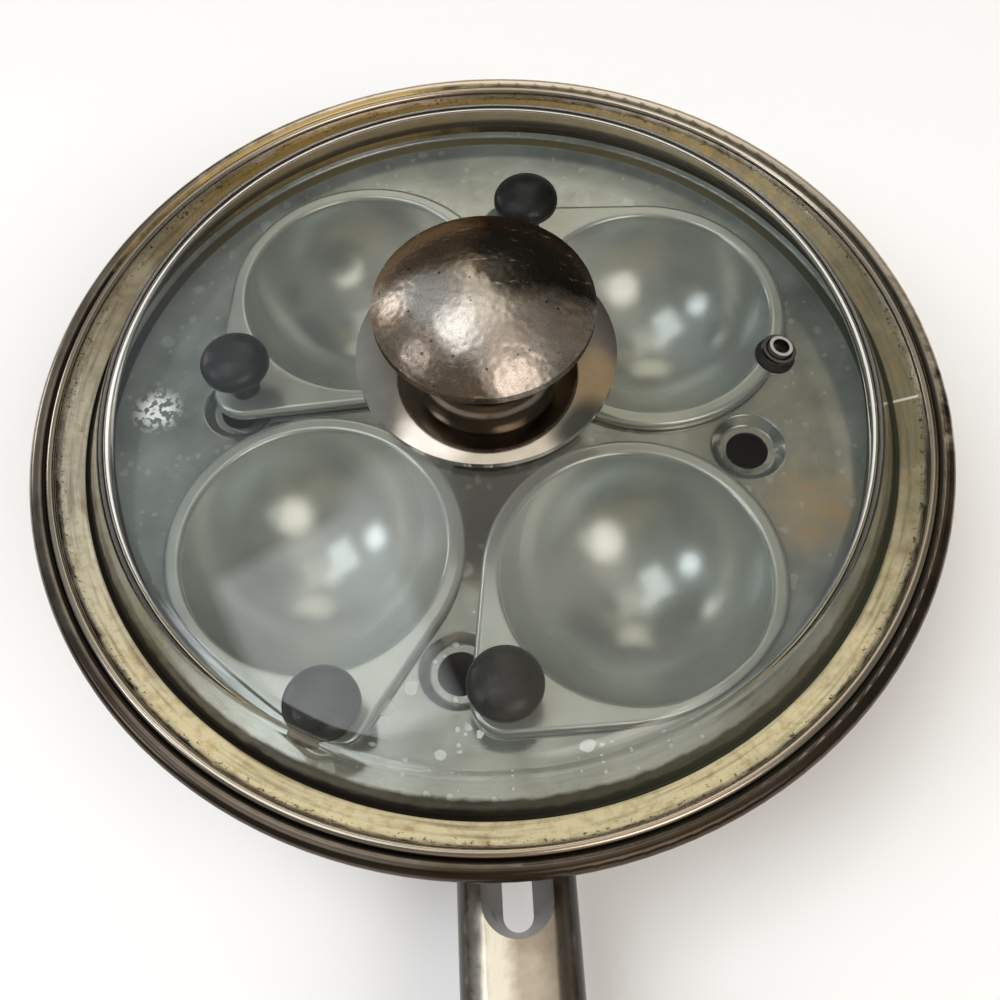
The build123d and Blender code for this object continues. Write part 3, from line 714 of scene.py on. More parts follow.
@dataclass(frozen=True)
class PaintedLightHandle(WorkedSteel):
    """Belt-ground steel handle: painted highlight on its crown, painted shade on its flanks and
    slot.
    """

    crown_highlight: str = "#fbf6ea"
    flank_shade: str = "#7d7368"
    dark: str = "#1c1815"
    crown_place: float = -5.5
    crown_ends: Pair = (5.0, 1.5)
    flank_ends: Pair = (2.0, 9.0)
    side_ends: Pair = (9.5, 12.5)
    wall_ends: Pair = (0.75, 0.45)
    ripple_size: float = 5.0
    ripple_mm: float = 2.5

    def aged(self, graph: Graph, place: bpy.types.Node, colour: bpy.types.Node,
             rough: bpy.types.Node) -> Aged:
        """Paint a highlight on the crown, and paint shade on the flanks and the slot's walls.

        Args:
            graph: the material's graph.
            place: the object's coordinates in millimetres.
            colour: the clean steel's colour.
            rough: the clean steel's roughness.

        Returns:
            The aged colour and roughness, and how far the surface is still bare metal.
        """
        split = graph.add("SeparateXYZ", {0: place})
        ripple = graph.add("TexNoise", {"Vector": place, "Scale": 1 / self.ripple_size,
                                        "Detail": 5.0, "Roughness": 0.65})
        drift = graph.add("MapRange", {"Value": ripple, "To Min": -self.ripple_mm,
                                       "To Max": self.ripple_mm})
        across = graph.add("Math", {0: split.outputs[0], 1: drift}, operation="ADD")
        # Painted highlight along the crown, left of the middle, and painted shade down the right
        # flank.
        off = graph.add("Math", {0: across, 1: self.crown_place}, operation="SUBTRACT")
        reach = graph.add("Math", {0: off}, operation="ABSOLUTE")
        painted_highlight = graph.add("MapRange", {"Value": reach, **between(self.crown_ends),
                                        "To Max": 0.9})
        right = graph.add("MapRange", {"Value": across, **between(self.flank_ends),
                                       "To Max": 0.8})
        side = graph.add("Math", {0: across}, operation="ABSOLUTE")
        edge = graph.add("MapRange", {"Value": side, **between(self.side_ends),
                                      "To Max": 0.92})
        colour = graph.add("Mix", {"Factor": right, "A": colour, "B": linear(self.flank_shade)},
                           data_type="RGBA")
        colour = graph.add("Mix", {"Factor": painted_highlight, "A": colour, "B": linear(self.crown_highlight)},
                           data_type="RGBA")
        # Painted shade on both sides and on faces that turn sideways, such as the slot's walls.
        normal = graph.add("TexCoord").outputs["Normal"]
        facing = graph.add("SeparateXYZ", {0: normal})
        wall = graph.add("MapRange", {"Value": facing.outputs[2], **between(self.wall_ends),
                                      "To Max": 0.95})
        covered = graph.add("Math", {0: edge, 1: wall}, operation="MAXIMUM")
        colour = graph.add("Mix", {"Factor": covered, "A": colour, "B": linear(self.dark)},
                           data_type="RGBA")
        bare = graph.add("MapRange", {"Value": covered, "To Min": 1.0, "To Max": 0.6})
        return colour, rough, bare


@dataclass(frozen=True)
class WornEyelet(Finish):
    """Nickelled eyelet, worn bright on its spout, with painted shade in its corner and its bore."""

    bright: str = "#e6e2da"
    flange: str = "#6d6862"
    painted_shade: str = "#141312"
    place: Triple = (74.6, 0.0, 78.35)
    axis: Triple = (0.1926, 0.0, 0.9813)
    spout_radius: float = 2.62
    spout_ends: Pair = (0.5, 0.34)
    rim_radius: float = 3.95
    rim_ends: Pair = (0.5, 0.25)
    metallic: float = 0.55
    roughness: float = 0.22

    def build(self) -> bpy.types.Material:
        """Build the eyelet's material in rings about its tilted axis.

        A point p lies |(p - o) x a| from the axis through o along the unit vector a.

        Returns:
            The material.
        """
        graph, place = self.start()
        from_foot = graph.add("VectorMath", {0: place, 1: self.place}, operation="SUBTRACT")
        moment = graph.add("VectorMath", {0: from_foot, 1: self.axis},
                           operation="CROSS_PRODUCT")
        radius = graph.add("VectorMath", {0: moment}, operation="LENGTH").outputs["Value"]
        off_spout = graph.add("Math", {0: radius, 1: self.spout_radius}, operation="SUBTRACT")
        spout_gap = graph.add("Math", {0: off_spout}, operation="ABSOLUTE")
        spout = graph.add("MapRange", {"Value": spout_gap, **between(self.spout_ends)})
        off_rim = graph.add("Math", {0: radius, 1: self.rim_radius}, operation="SUBTRACT")
        rim_gap = graph.add("Math", {0: off_rim}, operation="ABSOLUTE")
        rim = graph.add("MapRange", {"Value": rim_gap, **between(self.rim_ends)})
        # Painted shade: off its spout and flange rings the eyelet is near-black, in its corner and
        # its bore.
        colour = graph.add("Mix", {"Factor": rim, "A": linear(self.painted_shade),
                                   "B": linear(self.flange)}, data_type="RGBA")
        colour = graph.add("Mix", {"Factor": spout, "A": colour, "B": linear(self.bright)},
                           data_type="RGBA")
        nickel = graph.add("BsdfPrincipled", {"Base Color": colour, "Metallic": self.metallic,
                                              "Roughness": self.roughness})
        return self.end(graph, nickel)


@dataclass(frozen=True)
class SatinAluminium(Finish):
    """Aluminium, pressed and etched to an even silk-matt skin that blurs what it mirrors."""

    colour: str = "#b9beb9"
    shade: str = "#a9aeaa"
    metallic: float = 0.72
    roughness: float = 0.21
    grit_mm: float = 0.5
    relief_mm: float = 0.0015
    cloud_mm: float = 18.0

    def build(self) -> bpy.types.Material:
        """Build the aluminium's material.

        Returns:
            The material.
        """
        graph, place = self.start()
        clouds = graph.add("TexNoise", {"Vector": place, "Scale": 1 / self.cloud_mm,
                                        "Detail": 5.0, "Roughness": 0.6})
        tone = graph.add("MapRange", {"Value": clouds, "From Min": 0.3, "From Max": 0.7})
        colour = graph.add("Mix", {"Factor": tone, "A": linear(self.shade),
                                   "B": linear(self.colour)}, data_type="RGBA")
        rough = graph.add("MapRange", {"Value": clouds, "From Min": 0.3, "From Max": 0.7,
                                       "To Min": self.roughness - 0.03,
                                       "To Max": self.roughness + 0.05})
        # The etch is finer than a pixel, so its grit is drawn as coarse as it needs to show.
        grit = graph.add("TexNoise", {"Vector": place, "Scale": 1 / self.grit_mm, "Detail": 2.0})
        relief = graph.add("Bump", {"Height": grit, "Distance": self.relief_mm / METRE})
        metal = graph.add("BsdfPrincipled", {"Base Color": colour, "Metallic": self.metallic,
                                             "Roughness": rough, "Normal": relief})
        return self.end(graph, metal)


@dataclass(frozen=True)
class MouldedPhenolic(Finish):
    """Black phenolic, moulded: a hard plastic that turns satin and a little grey with washing."""

    colour: str = "#070808"
    worn: str = "#1a1c1d"
    roughness: float = 0.3
    wear_mm: float = 4.0
    relief_mm: float = 0.03

    def build(self) -> bpy.types.Material:
        """Build the plastic's material.

        Returns:
            The material.
        """
        graph, place = self.start()
        wear = graph.add("TexNoise", {"Vector": place, "Scale": 1 / self.wear_mm,
                                      "Detail": 6.0, "Roughness": 0.65})
        tone = graph.add("MapRange", {"Value": wear, "From Min": 0.4, "From Max": 0.72})
        colour = graph.add("Mix", {"Factor": tone, "A": linear(self.colour),
                                   "B": linear(self.worn)}, data_type="RGBA")
        rough = graph.add("MapRange", {"Value": wear, "From Min": 0.3, "From Max": 0.7,
                                       "To Min": self.roughness - 0.06,
                                       "To Max": self.roughness + 0.12})
        relief = graph.add("Bump", {"Height": wear, "Distance": self.relief_mm / METRE})
        plastic = graph.add("BsdfPrincipled", {"Base Color": colour, "Roughness": rough,
                                               "IOR": 1.5, "Normal": relief})
        return self.end(graph, plastic)


@dataclass(frozen=True)
class ToughenedGlass(Finish):
    """Toughened soda-lime glass, clear, with painted shade low on the wall above its edge.

    The painted shade is a thin dark layer that shades the view but throws no shadow on the tray.
    """

    colour: str = "#fafbfa"
    index: float = 1.5
    painted_shade: str = "#15120f"
    painted_shade_right: str = "#33352b"
    painted_shade_top: float = 59.6
    painted_shade_share: float = 0.93
    painted_shade_back_share: float = 0.3
    shadow: str = "#f2f5f2"
    ripple_size: float = 4.0
    ripple_mm: float = 1.2
    fade_ends: Pair = (0.8, -0.4)
    side_ends: Pair = (66.0, 96.0)
    side_lift: float = 1.6
    back_ends: Pair = (85.0, 30.0)
    right_ends: Pair = (-10.0, 60.0)

    def build(self) -> bpy.types.Material:
        """Build the glass, which lets the lamps' light through to what lies under it.

        Returns:
            The material.
        """
        graph, place = self.start()
        body = graph.add("BsdfPrincipled", {"Base Color": linear(self.colour), "Roughness": 0.0,
                                            "IOR": self.index, "Transmission Weight": 1.0})
        clear = graph.add("BsdfTransparent", {"Color": linear(self.shadow)})
        lit = graph.add("LightPath").outputs["Is Shadow Ray"]
        # Painted shade: a dark layer low on the wall, near-black at the left, olive at the right,
        # fainter at the back.
        split = graph.add("SeparateXYZ", {0: place})
        ripple = graph.add("TexNoise", {"Vector": place, "Scale": 1 / self.ripple_size,
                                        "Detail": 4.0})
        drift = graph.add("MapRange", {"Value": ripple, "To Min": -self.ripple_mm,
                                       "To Max": self.ripple_mm})
        ragged = graph.add("Math", {0: split.outputs[2], 1: drift}, operation="ADD")
        side = graph.add("Math", {0: split.outputs[0]}, operation="ABSOLUTE")
        lift = graph.add("MapRange", {"Value": side, **between(self.side_ends),
                                      "To Max": self.side_lift})
        height = graph.add("Math", {0: ragged, 1: lift}, operation="SUBTRACT")
        low = graph.add("MapRange", {"Value": height,
                                     "From Min": self.painted_shade_top + self.fade_ends[0],
                                     "From Max": self.painted_shade_top + self.fade_ends[1],
                                     "To Max": self.painted_shade_share})
        front = graph.add("MapRange", {"Value": split.outputs[1], **between(self.back_ends),
                                       "To Min": self.painted_shade_back_share})
        cover = graph.add("Math", {0: low, 1: front}, operation="MULTIPLY")
        right = graph.add("MapRange", {"Value": split.outputs[0], **between(self.right_ends)})
        colour = graph.add("Mix", {"Factor": right, "A": linear(self.painted_shade),
                                   "B": linear(self.painted_shade_right)}, data_type="RGBA")
        film = graph.add("BsdfPrincipled", {"Base Color": colour, "Roughness": 0.5,
                                            "Specular IOR Level": 0.05})
        glass = graph.add("MixShader", {0: cover, 1: body, 2: film})
        return self.end(graph, graph.add("MixShader", {0: lit, 1: glass, 2: clear}))


@dataclass(frozen=True)
class MouldedSilicone(Finish):
    """Black silicone rubber, moulded: matt and soft, with a faint bloom of dust."""

    colour: str = "#191a1a"
    bloom: str = "#303231"
    dust_mm: float = 1.5
    roughness: float = 0.62
    index: float = 1.41

    def build(self) -> bpy.types.Material:
        """Build the rubber's material.

        Returns:
            The material.
        """
        graph, place = self.start()
        dust = graph.add("TexNoise", {"Vector": place, "Scale": 1 / self.dust_mm, "Detail": 5.0})
        colour = graph.add("Mix", {"Factor": dust, "A": linear(self.colour),
                                   "B": linear(self.bloom)}, data_type="RGBA")
        rubber = graph.add("BsdfPrincipled", {"Base Color": colour,
                                              "Roughness": self.roughness, "IOR": self.index})
        return self.end(graph, rubber)


@dataclass(frozen=True)
class PaleFloor(Finish):
    """Pale matt paper that the pan stands on."""

    colour: str = "#f7f7f6"

    def build(self) -> bpy.types.Material:
        """Build the floor's material.

        Returns:
            The material.
        """
        graph, _ = self.start()
        paper = graph.add("BsdfDiffuse", {"Color": linear(self.colour)})
        return self.end(graph, paper)


def grid_piece(name: str, points: np.ndarray, round_first: bool, round_second: bool,
               sharp_degrees: float = 40.0) -> bpy.types.Object:
    """Make a smooth mesh object from a grid of points.

    The surface takes two steps: points[i, j] and its neighbours i + 1 and j + 1 bound one
    four-sided face, and a round direction joins its last row to its first. Points that meet at
    a pole are merged, and the normals then point outwards.

    Args:
        name: the object's name.
        points: rows by columns by 3 coordinates, in millimetres.
        round_first: whether the first direction closes on itself.
        round_second: whether the second direction closes on itself.
        sharp_degrees: the angle above which an edge stays crisp.

    Returns:
        The object, at the origin.
    """
    rows, columns = points.shape[:2]
    first = np.arange(rows if round_first else rows - 1)
    second = np.arange(columns if round_second else columns - 1)
    low, left = np.meshgrid(first, second, indexing="ij")
    high, right = (low + 1) % rows, (left + 1) % columns
    faces = np.stack([low * columns + left, low * columns + right,
                      high * columns + right, high * columns + left], axis=-1).reshape(-1, 4)
    mesh = bpy.data.meshes.new(name)
    mesh.from_pydata((points.reshape(-1, 3) / METRE).tolist(), [], faces.tolist())
    piece = bpy.data.objects.new(name, mesh)
    bpy.context.scene.collection.objects.link(piece)
    tidy_mesh(mesh)
    mesh.shade_smooth()
    mesh.set_sharp_from_angle(angle=math.radians(sharp_degrees))
    return piece


def tidy_mesh(mesh: bpy.types.Mesh) -> None:
    """Merge points that lie on each other and turn every face outwards.

    Args:
        mesh: the mesh, which is changed in place.
    """
    work = bmesh.new()
    work.from_mesh(mesh)
    bmesh.ops.remove_doubles(work, verts=work.verts, dist=1e-6)
    bmesh.ops.dissolve_degenerate(work, edges=work.edges, dist=1e-7)
    bmesh.ops.recalc_face_normals(work, faces=work.faces)
    work.to_mesh(mesh)
    work.free()


def rounded(corners: list[Pair], bends: list[float], steps: int = 7) -> np.ndarray:
    """Round the inner corners of an open course.

    At a corner between unit directions a, back, and b, onward, with half their angle h, an arc
    of radius q touches both sides q / tan(h) from the corner. Its centre lies q / sin(h) along
    their middle, and its points turn evenly from one touching point to the other.

    Args:
        corners: the course's corners, each a distance from the axis and a height.
        bends: the radius at each inner corner, 0 for a crisp one.
        steps: the number of steps in each arc.

    Returns:
        The points of the rounded course.
    """
    path = np.array(corners, float)
    runs = [path[:1]]
    for corner, bend in zip(range(1, len(path) - 1), bends):
        back = path[corner - 1] - path[corner]
        onward = path[corner + 1] - path[corner]
        back, onward = back / np.hypot(*back), onward / np.hypot(*onward)
        half = math.acos(float(np.clip(back @ onward, -1, 1))) / 2
        if bend <= 0 or half > 1.56:
            runs.append(path[corner:corner + 1])
            continue
        middle = back + onward
        centre = path[corner] + middle / np.hypot(*middle) * bend / math.sin(half)
        start = path[corner] + back * bend / math.tan(half) - centre
        end = path[corner] + onward * bend / math.tan(half) - centre
        sweep = math.atan2(start[0] * end[1] - start[1] * end[0], start @ end)
        turn = np.linspace(0, sweep, steps + 1)[:, None]
        side = np.array([-start[1], start[0]])
        runs.append(centre + start * np.cos(turn) + side * np.sin(turn))
    return np.concatenate(runs + [path[-1:]])


def turned(name: str, course: np.ndarray, centre: Pair = (0.0, 0.0), segments: int = 96,
           closed: bool = False, sharp_degrees: float = 40.0) -> bpy.types.Object:
    """Turn a course round an upright axis.

    A point of the piece is centre + (r cos a, r sin a, z), where (r, z) runs along the course
    and a round the full turn.

    Args:
        name: the object's name.
        course: the section's points, each a distance from the axis and a height.
        centre: where the axis stands.
        segments: the number of steps round the axis.
        closed: whether the section closes on itself.
        sharp_degrees: the angle above which an edge stays crisp.

    Returns:
        The object.
    """
    turn = np.linspace(0, 2 * np.pi, segments, endpoint=False)
    radius, height = course[:, 0], course[:, 1]
    points = np.stack([centre[0] + np.outer(np.cos(turn), radius),
                       centre[1] + np.outer(np.sin(turn), radius),
                       np.broadcast_to(height, (segments, len(course)))], axis=-1)
    return grid_piece(name, points, True, closed, sharp_degrees)


@dataclass(frozen=True)
class EggCup:
    """Egg cup with a deep round bowl, a crowned rim and a tab that carries its black grip."""

    number: int
    centre: Pair
    tab_heading: float
    rim_radius: float = 39.6
    bowl_radius: float = 36.06
    bowl_centre: float = 60.56
    wall: float = 1.8
    rim_top: float = 51.5
    rim_bottom: float = 48.6
    rim_sheet: float = 1.4
    edge_round: float = 1.6
    mouth_round: float = 1.5
    tab_reach: float = 46.8
    tab_radius: float = 9.0
    grip_radius: float = 9.3
    grip_equator: float = 63.8
    grip_top: float = 68.1
    grip_fullness: float = 2.3
    stem_foot: float = 4.3
    stem_waist: Pair = (3.5, 56.2)
    stem_head: float = 4.4
    cap_inner: float = 8.5
    cap_depths: Triple = (2.1, 2.0, 1.0)
    angles: int = 220

    def outline(self) -> tuple[np.ndarray, np.ndarray]:
        """Outline of rim and tab: the band that would hug both of their circles.

        The band leaves the rim's circle where its normal is turned b from the tab's heading,
        with cos b = (R - r) / D for the two radii and the distance of their centres. A point is
        the centre of its circle plus the radius times the normal, and on the straight runs the
        normal stays and the centre and radius change evenly from one circle to the other.

        Returns:
            The outline's points about the cup's centre, and their outward normals.
        """
        lean = math.acos((self.rim_radius - self.tab_radius) / self.tab_reach)
        around = np.linspace(lean, 2 * np.pi - lean, self.angles)
        tip = np.linspace(-lean, lean, self.angles // 4)
        slide = np.linspace(0, 1, self.angles // 10 + 2)[1:-1]
        normal_turn = np.concatenate([around, np.full(slide.size, -lean), tip,
                                      np.full(slide.size, lean)])
        towards_tab = np.concatenate([np.zeros(around.size), slide, np.ones(tip.size), 1 - slide])
        radius = self.rim_radius + (self.tab_radius - self.rim_radius) * towards_tab
        heading = math.radians(self.tab_heading)
        normal = np.stack([np.cos(normal_turn + heading), np.sin(normal_turn + heading)], axis=-1)
        tab = np.array([math.cos(heading), math.sin(heading)]) * self.tab_reach
        return towards_tab[:, None] * tab + radius[:, None] * normal, normal

    def rim_and_bowl(self) -> bpy.types.Object:
        """Make the cup's closed skin, from the bowl's floor over the rim to the bowl's underside.

        Rows go round the outline and columns across the skin. A bowl column is a circle of the
        sphere. A rim column lies between the mouth's circle and the outline moved inwards along
        its normal, and its height follows a quarter circle at each edge and a flat top between.

        Returns:
            The cup.
        """
        outline, normal = self.outline()
        turn = np.arctan2(outline[:, 1], outline[:, 0])
        spoke = np.stack([np.cos(turn), np.sin(turn)], axis=-1)
        mouth_drop = self.bowl_centre - self.rim_top + self.mouth_round
        mouth_radius = math.sqrt((self.bowl_radius + self.mouth_round) ** 2 - mouth_drop ** 2)
        mouth_turn = math.atan2(mouth_radius, mouth_drop)
        inner = np.linspace(0, mouth_turn, 44)
        lip = np.linspace(-mouth_turn, 0, 9)[1:]
        edge = np.linspace(0, np.pi / 2, 9)
        outer_reach = math.sqrt((self.bowl_radius + self.wall) ** 2
                                - (self.bowl_centre - self.rim_top + self.rim_sheet) ** 2)
        outer_turn = math.atan2(outer_reach, self.bowl_centre - self.rim_top + self.rim_sheet)
        under = np.linspace(outer_turn, 0, 30)

        circles = [(self.bowl_radius * np.sin(inner),
                    self.bowl_centre - self.bowl_radius * np.cos(inner)),
                   (mouth_radius + self.mouth_round * np.sin(lip),
                    self.rim_top - self.mouth_round + self.mouth_round * np.cos(lip))]
        columns = [spoke[:, None] * radius[None, :, None] for radius, _ in circles]
        heights = [height for _, height in circles]
        flat = np.linspace(0, 1, 10)[1:-1]
        start = spoke * mouth_radius
        stop = outline - normal * self.edge_round
        columns.append(start[:, None] + (stop - start)[:, None] * flat[None, :, None])
        heights.append(np.full(flat.size, self.rim_top))
        inset = self.edge_round * (1 - np.sin(edge))
        columns.append(outline[:, None] - normal[:, None] * inset[None, :, None])
        heights.append(self.rim_top - self.edge_round * (1 - np.cos(edge)))
        skirt = np.array([0.0, 0.25, self.rim_sheet - 0.25, self.rim_sheet, self.rim_sheet])
        columns.append(outline[:, None] - normal[:, None] * skirt[None, :, None])
        heights.append(np.array([self.rim_bottom + 0.25, self.rim_bottom, self.rim_bottom,
                                 self.rim_bottom + 0.25, self.rim_top - self.rim_sheet]))
        columns.append(spoke[:, None] * ((self.bowl_radius + self.wall)
                                         * np.sin(under))[None, :, None])
        heights.append(self.bowl_centre - (self.bowl_radius + self.wall) * np.cos(under))
        level = np.concatenate(columns, axis=1) + np.array(self.centre)
        height = np.broadcast_to(np.concatenate(heights), level.shape[:2])
        points = np.concatenate([level, height[..., None]], axis=-1)
        return grid_piece(f"egg_cup_{self.number}", points, True, False, 35.0)

    def grip(self) -> bpy.types.Object:
        """Make the mushroom grip that stands on the tab.

        Above its widest circle the cap's height is rise * (1 - (r / R) ** p) ** (1 / 2), which
        is flat on top and full at its edge. Below it the course runs in under the cap and down
        a waisted stem.

        Returns:
            The grip.
        """
        heading = math.radians(self.tab_heading)
        centre = (self.centre[0] + self.tab_reach * math.cos(heading),
                  self.centre[1] + self.tab_reach * math.sin(heading))
        head, inner, lip = (self.grip_equator - depth for depth in self.cap_depths)
        stem = rounded([(0, self.rim_top), (self.stem_foot, self.rim_top), self.stem_waist,
                        (self.stem_head, head), (self.cap_inner, inner),
                        (self.grip_radius, lip), (self.grip_radius, self.grip_equator)],
                       [0.3, 6.0, 1.2, 0.5, 0.6])
        share = np.sin(np.linspace(np.pi / 2, 0, 26))[1:]
        rise = self.grip_top - self.grip_equator
        cap = np.stack([share * self.grip_radius,
                        self.grip_equator + rise * np.sqrt(1 - share ** self.grip_fullness)],
                       axis=-1)
        return turned(f"cup_grip_{self.number}", np.concatenate([stem, cap]), centre, 72,
                      sharp_degrees=50.0)

    def dress(self, metal: bpy.types.Material, plastic: bpy.types.Material) -> None:
        """Build the cup and its grip, and let them stand for their nodes.

        Args:
            metal: the cup's material.
            plastic: the grip's material.
        """
        for piece, node, slot, material in (
            (self.rim_and_bowl(), f"cup_{self.number}", "cup_aluminium", metal),
            (self.grip(), f"grip_{self.number}", "grip_phenolic", plastic),
        ):
            piece.data.materials.append(material)
            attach(piece, f"cup_{self.number}")
            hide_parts(node)
            log.info("%s: %d faces", piece.name, len(piece.data.polygons))


@dataclass(frozen=True)
class SteelRing:
    """Steel ring crimped round the glass: a sloped band, a rolled hem and a lip underneath."""

    lip_radius: float = 109.35
    lip_bottom: float = 53.2
    sheet: float = 0.5
    skirt_foot: Pair = (113.1, 53.2)
    skirt_knee: Pair = (115.2, 57.0)
    band_outer: Pair = (115.0, 60.15)
    band_inner: Pair = (109.8, 57.75)
    hem_centre: Pair = (117.0, 61.7)
    hem_width: float = 1.2
    hem_rise: float = 1.1
    segments: int = 360

    def course(self) -> np.ndarray:
        """Section of the ring's sheet.

        The hem is an ellipse about its centre, from just under its outer side over the top to
        its inner foot. Every other corner is rounded by an arc.

        Returns:
            The closed section's points, each a distance from the axis and a height.
        """
        turn = np.linspace(-0.5, np.pi + 0.35, 26)
        hem = np.stack([self.hem_centre[0] + self.hem_width * np.cos(turn),
                        self.hem_centre[1] + self.hem_rise * np.sin(turn)], axis=-1)
        lower = rounded([(self.lip_radius, self.lip_bottom), self.skirt_foot, self.skirt_knee,
                         (self.band_outer[0] + 0.45, self.band_outer[1] - 0.1),
                         (hem[0, 0] - 0.6, hem[0, 1] - 0.35), tuple(hem[0])],
                        [0.5, 1.5, 0.4, 0.3])
        tip = (self.band_inner[0] - 0.5, self.band_inner[1] - 0.3)
        upper = rounded([tuple(hem[-1]), self.band_outer, self.band_inner, tip,
                         (tip[0] + 0.35, tip[1] - 0.3),
                         (self.band_outer[0] - 0.2, self.band_outer[1] - self.sheet - 0.2),
                         (self.skirt_knee[0] - self.sheet, self.skirt_knee[1] + 0.1),
                         (self.skirt_foot[0] - 0.15, self.lip_bottom + self.sheet),
                         (self.lip_radius, self.lip_bottom + self.sheet)],
                        [0.5, 0.5, 0.2, 0.15, 0.4, 1.0, 0.3])
        return np.concatenate([lower[:-1], hem, upper[1:]])

    def dress(self, material: bpy.types.Material) -> None:
        """Turn the ring's section and let it stand for its node.

        Args:
            material: the ring's material.
        """
        piece = turned("steel_ring", self.course(), segments=self.segments, closed=True,
                       sharp_degrees=50.0)
        piece.data.materials.append(material)
        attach(piece, "lid")
        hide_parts("lid_ring")
        log.info("%s: %d faces", piece.name, len(piece.data.polygons))


@dataclass(frozen=True)
class DomedGlass:
    """Pressed glass of the lid: a low dome that bends softly down to an edge in the ring."""

    bore: float = 2.9
    top: float = 85.6
    sheet: float = 3.2
    brow: Pair = (101.0, 72.2)
    foot: Pair = (108.75, 57.2)
    edge: Pair = (112.0, 56.9)
    brow_round: float = 9.0
    foot_round: float = 1.0
    segments: int = 288

    def face(self, depth: float) -> np.ndarray:
        """Course of the glass at a depth under its outer face.

        The dome's height is top - R + (R * R - r * r) ** (1 / 2), with its radius R that fits
        the top and the brow. A corner between two runs with outward normals m and n moves in by
        depth * (m + n) / (1 + m n), and its arc keeps its centre.

        Args:
            depth: the depth under the outer face.

        Returns:
            The course from the bore to the edge.
        """
        fall = self.top - self.brow[1]
        radius = (self.brow[0] ** 2 + fall ** 2) / (2 * fall)
        reach = np.linspace(self.bore, self.brow[0] - self.brow_round * 0.75, 60)
        height = self.top - radius + np.sqrt((radius - depth) ** 2 - reach ** 2)
        corners = np.array([self.brow, self.foot])
        runs = np.diff(np.array([self.brow, self.foot, self.edge]), axis=0)
        slopes = np.concatenate([[math.asin(self.brow[0] / radius)],
                                 np.arctan2(-runs[:, 1], runs[:, 0])])
        normals = np.stack([np.sin(slopes), np.cos(slopes)], axis=-1)
        before, after = normals[:-1], normals[1:]
        shared = 1 + np.sum(before * after, axis=1, keepdims=True)
        moved = corners - depth * (before + after) / shared
        path = [(float(reach[-1]), float(height[-1])), *map(tuple, moved.tolist()),
                (self.edge[0], self.edge[1] - depth)]
        bend = rounded(path, [self.brow_round - depth, self.foot_round + depth], 16)
        return np.concatenate([np.stack([reach, height], axis=-1), bend[1:]])

    def dress(self, material: bpy.types.Material) -> None:
        """Turn the glass and let it stand for its node.

        Args:
            material: the glass's material.
        """
        course = np.concatenate([self.face(0.0), self.face(self.sheet)[::-1]])
        piece = turned("domed_glass", course, segments=self.segments, closed=True,
                       sharp_degrees=50.0)
        piece.data.materials.append(material)
        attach(piece, "lid")
        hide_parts("lid_glass")
        log.info("%s: %d faces", piece.name, len(piece.data.polygons))


@dataclass(frozen=True)
class PhotoCamera:
    """Camera that stands where the photograph was taken from."""

    place: Triple = (0.15, -156.98, 309.33)
    right: Triple = (0.99835, -0.05291, -0.02231)
    up: Triple = (0.05726, 0.88784, 0.45658)
    view: Triple = (0.00435, 0.45711, -0.88940)
    focal_px: float = 1084.1
    frame_px: float = 1000.0
    sensor: float = 36.0
    clip_start: float = 0.01

    def stand(self) -> None:
        """Put the camera in the scene and look through it."""
        data = bpy.data.cameras.new("photo_camera")
        data.sensor_width = self.sensor
        data.lens = self.focal_px / self.frame_px * self.sensor
        data.clip_start = self.clip_start
        camera = bpy.data.objects.new("photo_camera", data)
        bpy.context.scene.collection.objects.link(camera)
        turn = Matrix((self.right, self.up, tuple(-part for part in self.view))).transposed()
        camera.matrix_world = Matrix.Translation(Vector(self.place) / METRE) @ turn.to_4x4()
        bpy.context.scene.camera = camera


@dataclass(frozen=True)
class Softbox:
    """Soft square lamp that looks at the pan. It only lights it: no steel or glass mirrors it."""

    name: str
    heading: Triple
    reach: float
    side: float
    watts: float
    colour: str
    target_height: float = 0.06

    def hang(self) -> None:
        """Hang the lamp, its reach in metres from the pan's rim."""
        data = bpy.data.lights.new(self.name, "AREA")
        data.shape = "SQUARE"
        data.size = self.side
        data.energy = self.watts
        data.color = linear(self.colour)[:3]
        lamp = bpy.data.objects.new(self.name, data)
        bpy.context.scene.collection.objects.link(lamp)
        lamp.visible_camera = False
        lamp.visible_glossy = False
        lamp.visible_transmission = False
        away = Vector(self.heading).normalized()
        lamp.location = away * self.reach + Vector((0, 0, self.target_height))
        lamp.rotation_euler = away.to_track_quat("Z", "Y").to_euler()


@dataclass(frozen=True)
class Glow:
    """Soft patch of the room's light round a heading, from a window pane to a dark corner."""

    heading: Triple
    colour: str
    strength: float
    inner_degrees: float
    outer_degrees: float


